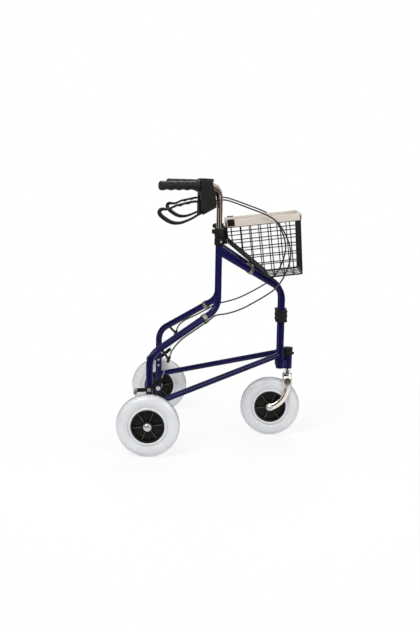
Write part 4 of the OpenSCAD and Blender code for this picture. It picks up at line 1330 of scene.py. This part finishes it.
@dataclass
class Tray:
    """The moulded tray that caps the basket."""

    basket: Basket
    start_x: float = -3 * MM
    end_x: float = 247 * MM
    half_width: float = 111 * MM
    corner: float = 16 * MM
    tight_corner: float = 3 * MM
    corner_steps: int = 8
    section: Pairs = (
        (40, -14), (12.5, -14), (9.6, -13.2), (8.3, -11), (7.9, -1.0), (7.0, 0.3), (3.2, 0.3),
        (2.5, -0.6), (2.3, -17.4), (1.9, -18.0), (1.0, -18.2), (0.25, -17.7), (0.0, -16.5),
        (0.3, 0.5), (0.5, 2.2), (1.2, 3.4), (2.4, 4.0), (7.6, 4.0), (8.9, 3.5), (9.8, 2.3),
        (10.1, 0.5), (10.6, -8.5), (11.6, -10.8), (13.8, -11.6), (40, -11.6))
    hook_section: Pairs = (
        (0.2, -15), (-3.0, -15), (-3.6, -13.5), (-3.6, 5.4), (-2.4, 6.8), (7.0, 6.8), (8.0, 5.8),
        (8.0, 4.1), (1.4, 4.1), (0.2, 2.8))
    hook_span: Pair = (7 * MM, 29 * MM)

    def ring(self, gap: float, z: float) -> Line:
        """Rounded rectangle inside the tray's edge.

        Args:
            gap: Distance from the edge.
            z: Height over the basket's rim.

        Returns:
            Points of the ring.
        """
        radius = max(self.corner - gap, self.tight_corner)
        back, front = self.start_x + gap + radius, self.end_x - gap - radius
        half = self.half_width - gap - radius
        corners = ((front, half), (back, half), (back, -half), (front, -half))
        made = []
        for quarter, (x, y) in enumerate(corners):
            for k in range(self.corner_steps + 1):
                angle = pi / 2 * (quarter + k / self.corner_steps)
                across = y + radius * sin(angle)
                made.append(self.basket.at(x + radius * cos(angle), across, z))
        return made

    def build(self) -> None:
        """Lofts the tray from its skirt over the lip to its floor, and bends its rear hooks."""
        shell = loft([self.ring(gap, z) for gap, z in metres(self.section)])
        make("moulded_tray", [shell], Finish.TRAY, "tray", "basket_tray")
        hooks = [loft([[self.basket.at(x, side.value * (self.half_width - gap), z)
                        for gap, z in metres(self.hook_section)] for x in self.hook_span])
                 for side in Side]
        make("tray_hooks", hooks, Finish.PLASTIC, "tray")


def stand_card(name: str, middle: Vector, across: Vector, upwards: Vector, s: Shader) -> Piece:
    """Stands a flat card of the stage.

    Args:
        name: Name of the card.
        middle: Its middle.
        across: From the middle to its right edge.
        upwards: From the middle to its upper edge.
        s: Its material.

    Returns:
        The card.
    """
    corners = [middle + across * x + upwards * z for x, z in SQUARE]
    mesh = new_mesh(name, corners, [], [(0, 1, 2, 3)])
    mesh.materials.append(s.material)
    card = link_object(name, mesh)
    return card


@dataclass(frozen=True)
class Lamp:
    """A soft square studio lamp."""

    name: str
    place: Point
    aim: Point
    size: float
    power: float

    def build(self) -> None:
        """Hangs the lamp."""
        light = bpy.data.lights.new(self.name, "AREA")
        light.shape = "SQUARE"
        light.size = self.size
        light.energy = self.power
        lamp = link_object(self.name, light)
        lamp.location = self.place
        way = Vector(self.aim) - Vector(self.place)
        lamp.rotation_euler = way.to_track_quat("-Z", "Y").to_euler()


@dataclass(frozen=True)
class Card:
    """A dark card that only gloss sees, which gives bright metal its contrast."""

    name: str
    middle: Point
    across: Point
    upwards: Point
    colour: Point

    def build(self) -> None:
        """Stands the card."""
        s = Shader(self.name)
        s.show(s.add("Emission", {"Color": (*self.colour, 1)}).outputs["Emission"])
        card = stand_card(self.name, *map(Vector, (self.middle, self.across, self.upwards)), s)
        card.visible_camera = card.visible_diffuse = False
        card.visible_shadow = card.visible_transmission = False


@dataclass(frozen=True)
class Studio:
    """Pale floor, soft light and the photograph's camera."""

    camera_place: Point = (0.01687, -3.3867, 0.9209)
    yaw: float = -0.483
    pitch: float = 8.603
    roll: float = 1.038
    lens: float = 58.06
    sensor: float = 36.0
    floor_half: float = 15.0
    floor_colour: Point = (0.86, 0.86, 0.86)
    floor_roughness: float = 0.9
    floor_glow: float = 0.8
    floor_fade: Pair = (0.35, 1.3)
    sky_fill: float = 0.55
    lamps: tuple[Lamp, ...] = (
        Lamp("key", (-1.3, -2.3, 2.7), (0, 0, 0.45), 1.5, 62.0),
        Lamp("fill", (1.9, -2.0, 1.6), (0, 0, 0.4), 1.2, 22.0),
        Lamp("rim", (0.4, 2.0, 2.4), (0, 0, 0.5), 1.4, 30.0))
    cards: tuple[Card, ...] = (
        Card("card_front", (0.2, -4.6, 1.0), (2.4, 0, 0), (0, 0, 1.6), (0.03, 0.027, 0.026)),
        Card("card_left", (-3.4, -0.6, 1.0), (0, 2.3, 0), (0, 0, 1.6), (0.05, 0.04, 0.035)),
        Card("card_right", (3.4, -0.4, 1.0), (0, 2.2, 0), (0, 0, 1.6), (0.09, 0.055, 0.035)),
        Card("card_back", (0, 3.6, 1.0), (2.6, 0, 0), (0, 0, 1.5), (0.08, 0.075, 0.07)),
        Card("card_floor_front", (0, -2.1, 0.004), (5.0, 0, 0), (0, 1.3, 0), (0.07, 0.055, 0.045)),
        Card("card_floor_back", (0, 2.1, 0.004), (5.0, 0, 0), (0, 1.3, 0), (0.07, 0.055, 0.045)))

    def seen_white(self, tree: bpy.types.NodeTree) -> Socket:
        """Factor that is one for camera, glossy and transmission rays.

        Args:
            tree: Tree that takes the nodes.

        Returns:
            The factor.
        """
        path = add_node(tree, "ShaderNodeLightPath").outputs
        total = path["Is Camera Ray"]
        for name in ("Is Glossy Ray", "Is Transmission Ray"):
            inputs = {0: total, 1: path[name]}
            total = add_node(tree, "ShaderNodeMath", inputs, operation="MAXIMUM").outputs[0]
        return total

    def build_sky(self) -> None:
        """White world for what the camera and the gloss see, dimmer for the light it gives."""
        world = bpy.data.worlds.new("studio")
        bpy.context.scene.world = world
        world.use_nodes = True
        tree = world.node_tree
        back = tree.nodes["Background"]
        back.inputs["Color"].default_value = (1, 1, 1, 1)
        level = add_node(tree, "ShaderNodeMapRange", {
            "Value": self.seen_white(tree), "To Min": self.sky_fill, "To Max": 1.0})
        tree.links.new(level.outputs["Result"], back.inputs["Strength"])

    def build_floor(self) -> None:
        """Wide pale floor that keeps a soft shadow."""
        s = Shader("floor_paper", {"Base Color": (*self.floor_colour, 1),
                                   "Roughness": self.floor_roughness, "Specular IOR Level": 0.0})
        reach = s.add("VectorMath", {0: s.coords}, operation="LENGTH").outputs["Value"]
        start, stop = self.floor_fade
        inputs = {"Value": reach, "From Min": start, "From Max": stop, "To Min": self.floor_glow}
        fade = s.add("MapRange", inputs, interpolation_type="SMOOTHSTEP").outputs["Result"]
        share = s.add("Math", {0: self.seen_white(s.tree), 1: fade}, operation="MULTIPLY")
        glow = s.add("Emission").outputs["Emission"]
        inputs = {"Fac": share.outputs[0], 1: s.surface.outputs["BSDF"], 2: glow}
        s.show(s.add("MixShader", inputs).outputs["Shader"])
        half = self.floor_half
        stand_card("floor", Vector(), X_AXIS * half, Y_AXIS * half, s)

    def build_camera(self) -> None:
        """Sets the camera at the photograph's place and angle."""
        yaw, pitch, roll = map(radians, (self.yaw, self.pitch, self.roll))
        right = Vector((cos(yaw), -sin(yaw), 0))
        level = Vector((sin(yaw), cos(yaw), 0))
        ahead = level * cos(pitch) - Z_AXIS * sin(pitch)
        up = level * sin(pitch) + Z_AXIS * cos(pitch)
        x_axis = right * cos(roll) + up * sin(roll)
        y_axis = up * cos(roll) - right * sin(roll)
        data = bpy.data.cameras.new("camera")
        data.lens = self.lens
        data.sensor_width = self.sensor
        data.sensor_fit = "AUTO"
        camera = link_object("camera", data)
        turn = Matrix((x_axis, y_axis, -ahead)).transposed().to_4x4()
        camera.matrix_world = Matrix.Translation(self.camera_place) @ turn
        bpy.context.scene.camera = camera

    def build(self) -> None:
        """Sets up the whole studio."""
        bpy.context.scene.view_settings.view_transform = "Standard"
        self.build_camera()
        self.build_sky()
        self.build_floor()
        for light_or_card in (*self.lamps, *self.cards):
            light_or_card.build()


NODE_FINISH: dict[Finish, tuple[str, ...]] = {
    Finish.ENAMEL: ("main_tube", "upper_strut", "lower_strut", "head_bracket", "head_tube"),
    # The handle tubes wear the chrome with a painted dark reflection.
    Finish.STEM: ("handle_tube",),
    Finish.FORK: ("caster_fork", "stem_nuts", "caster_stem"),
    Finish.STEEL: ("hinge_screws", "axle", "brake_bolts", "bearings", "brake_shoe"),
    Finish.CLIP: ("tube_clips",),
    Finish.RIM: ("rim",)}
EASED_NODES = (
    "brake_housing", "basket_bracket", "height_collar", "cable_stop", "brake_arm", "hinge_clamp")
EASE_WIDTH, EASE_ANGLE, EASE_SEGMENTS, WELD_GAP = 1.1 * MM, radians(40), 2, 1e-5
# How far a cap stands from its wheel's middle, and its radius.
FRONT_CAP, REAR_CAP = (38.8 * MM, 7.2 * MM), (29.3 * MM, 10.8 * MM)


def ease_edges(node: Piece) -> None:
    """Rounds the sharp edges of a moulded node, whose own mesh stays as it is.

    Args:
        node: Node to round.
    """
    node.modifiers.new("weld", "WELD").merge_threshold = WELD_GAP
    bevel = node.modifiers.new("ease", "BEVEL")
    bevel.width = EASE_WIDTH
    bevel.segments = EASE_SEGMENTS
    bevel.limit_method = "ANGLE"
    bevel.angle_limit = EASE_ANGLE
    bevel.use_clamp_overlap = True


def dress_frame() -> None:
    """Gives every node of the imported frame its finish."""
    for name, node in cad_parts.items():
        worn = (finish for finish, ends in NODE_FINISH.items() if name.endswith(ends))
        node.data.materials.clear()
        node.data.materials.append(next(worn, Finish.PLASTIC).material)
        if name.endswith(EASED_NODES):
            ease_edges(node)


def main() -> None:
    """Builds the studio and every piece."""
    logging.basicConfig(level=logging.INFO, format="%(message)s")
    wires, bolts = WireRig(), BoltRig()
    Studio().build()
    dress_frame()
    front = Vector((WHEEL_X, 0, WHEEL_Z))
    reach, radius = FRONT_CAP
    Wheel("front", "front_wheel", "caster", front, (reach, -reach), radius, wires).build()
    Fork().build()
    reach, radius = REAR_CAP
    for side in Side:
        rear, cap = Vector((-WHEEL_X, side.value * WHEEL_Y, WHEEL_Z)), (side.value * reach,)
        label, body, carrier = map(side.of, ("rear", "wheel", "frame"))
        Wheel(label, body, carrier, rear, cap, radius, wires).build()
        Handle(side, wires, bolts).build()
        SideFrame(side, wires, bolts).build()
    basket = Basket(wires)
    basket.build()
    Tray(basket).build()


if __name__ == "__main__":
    main()
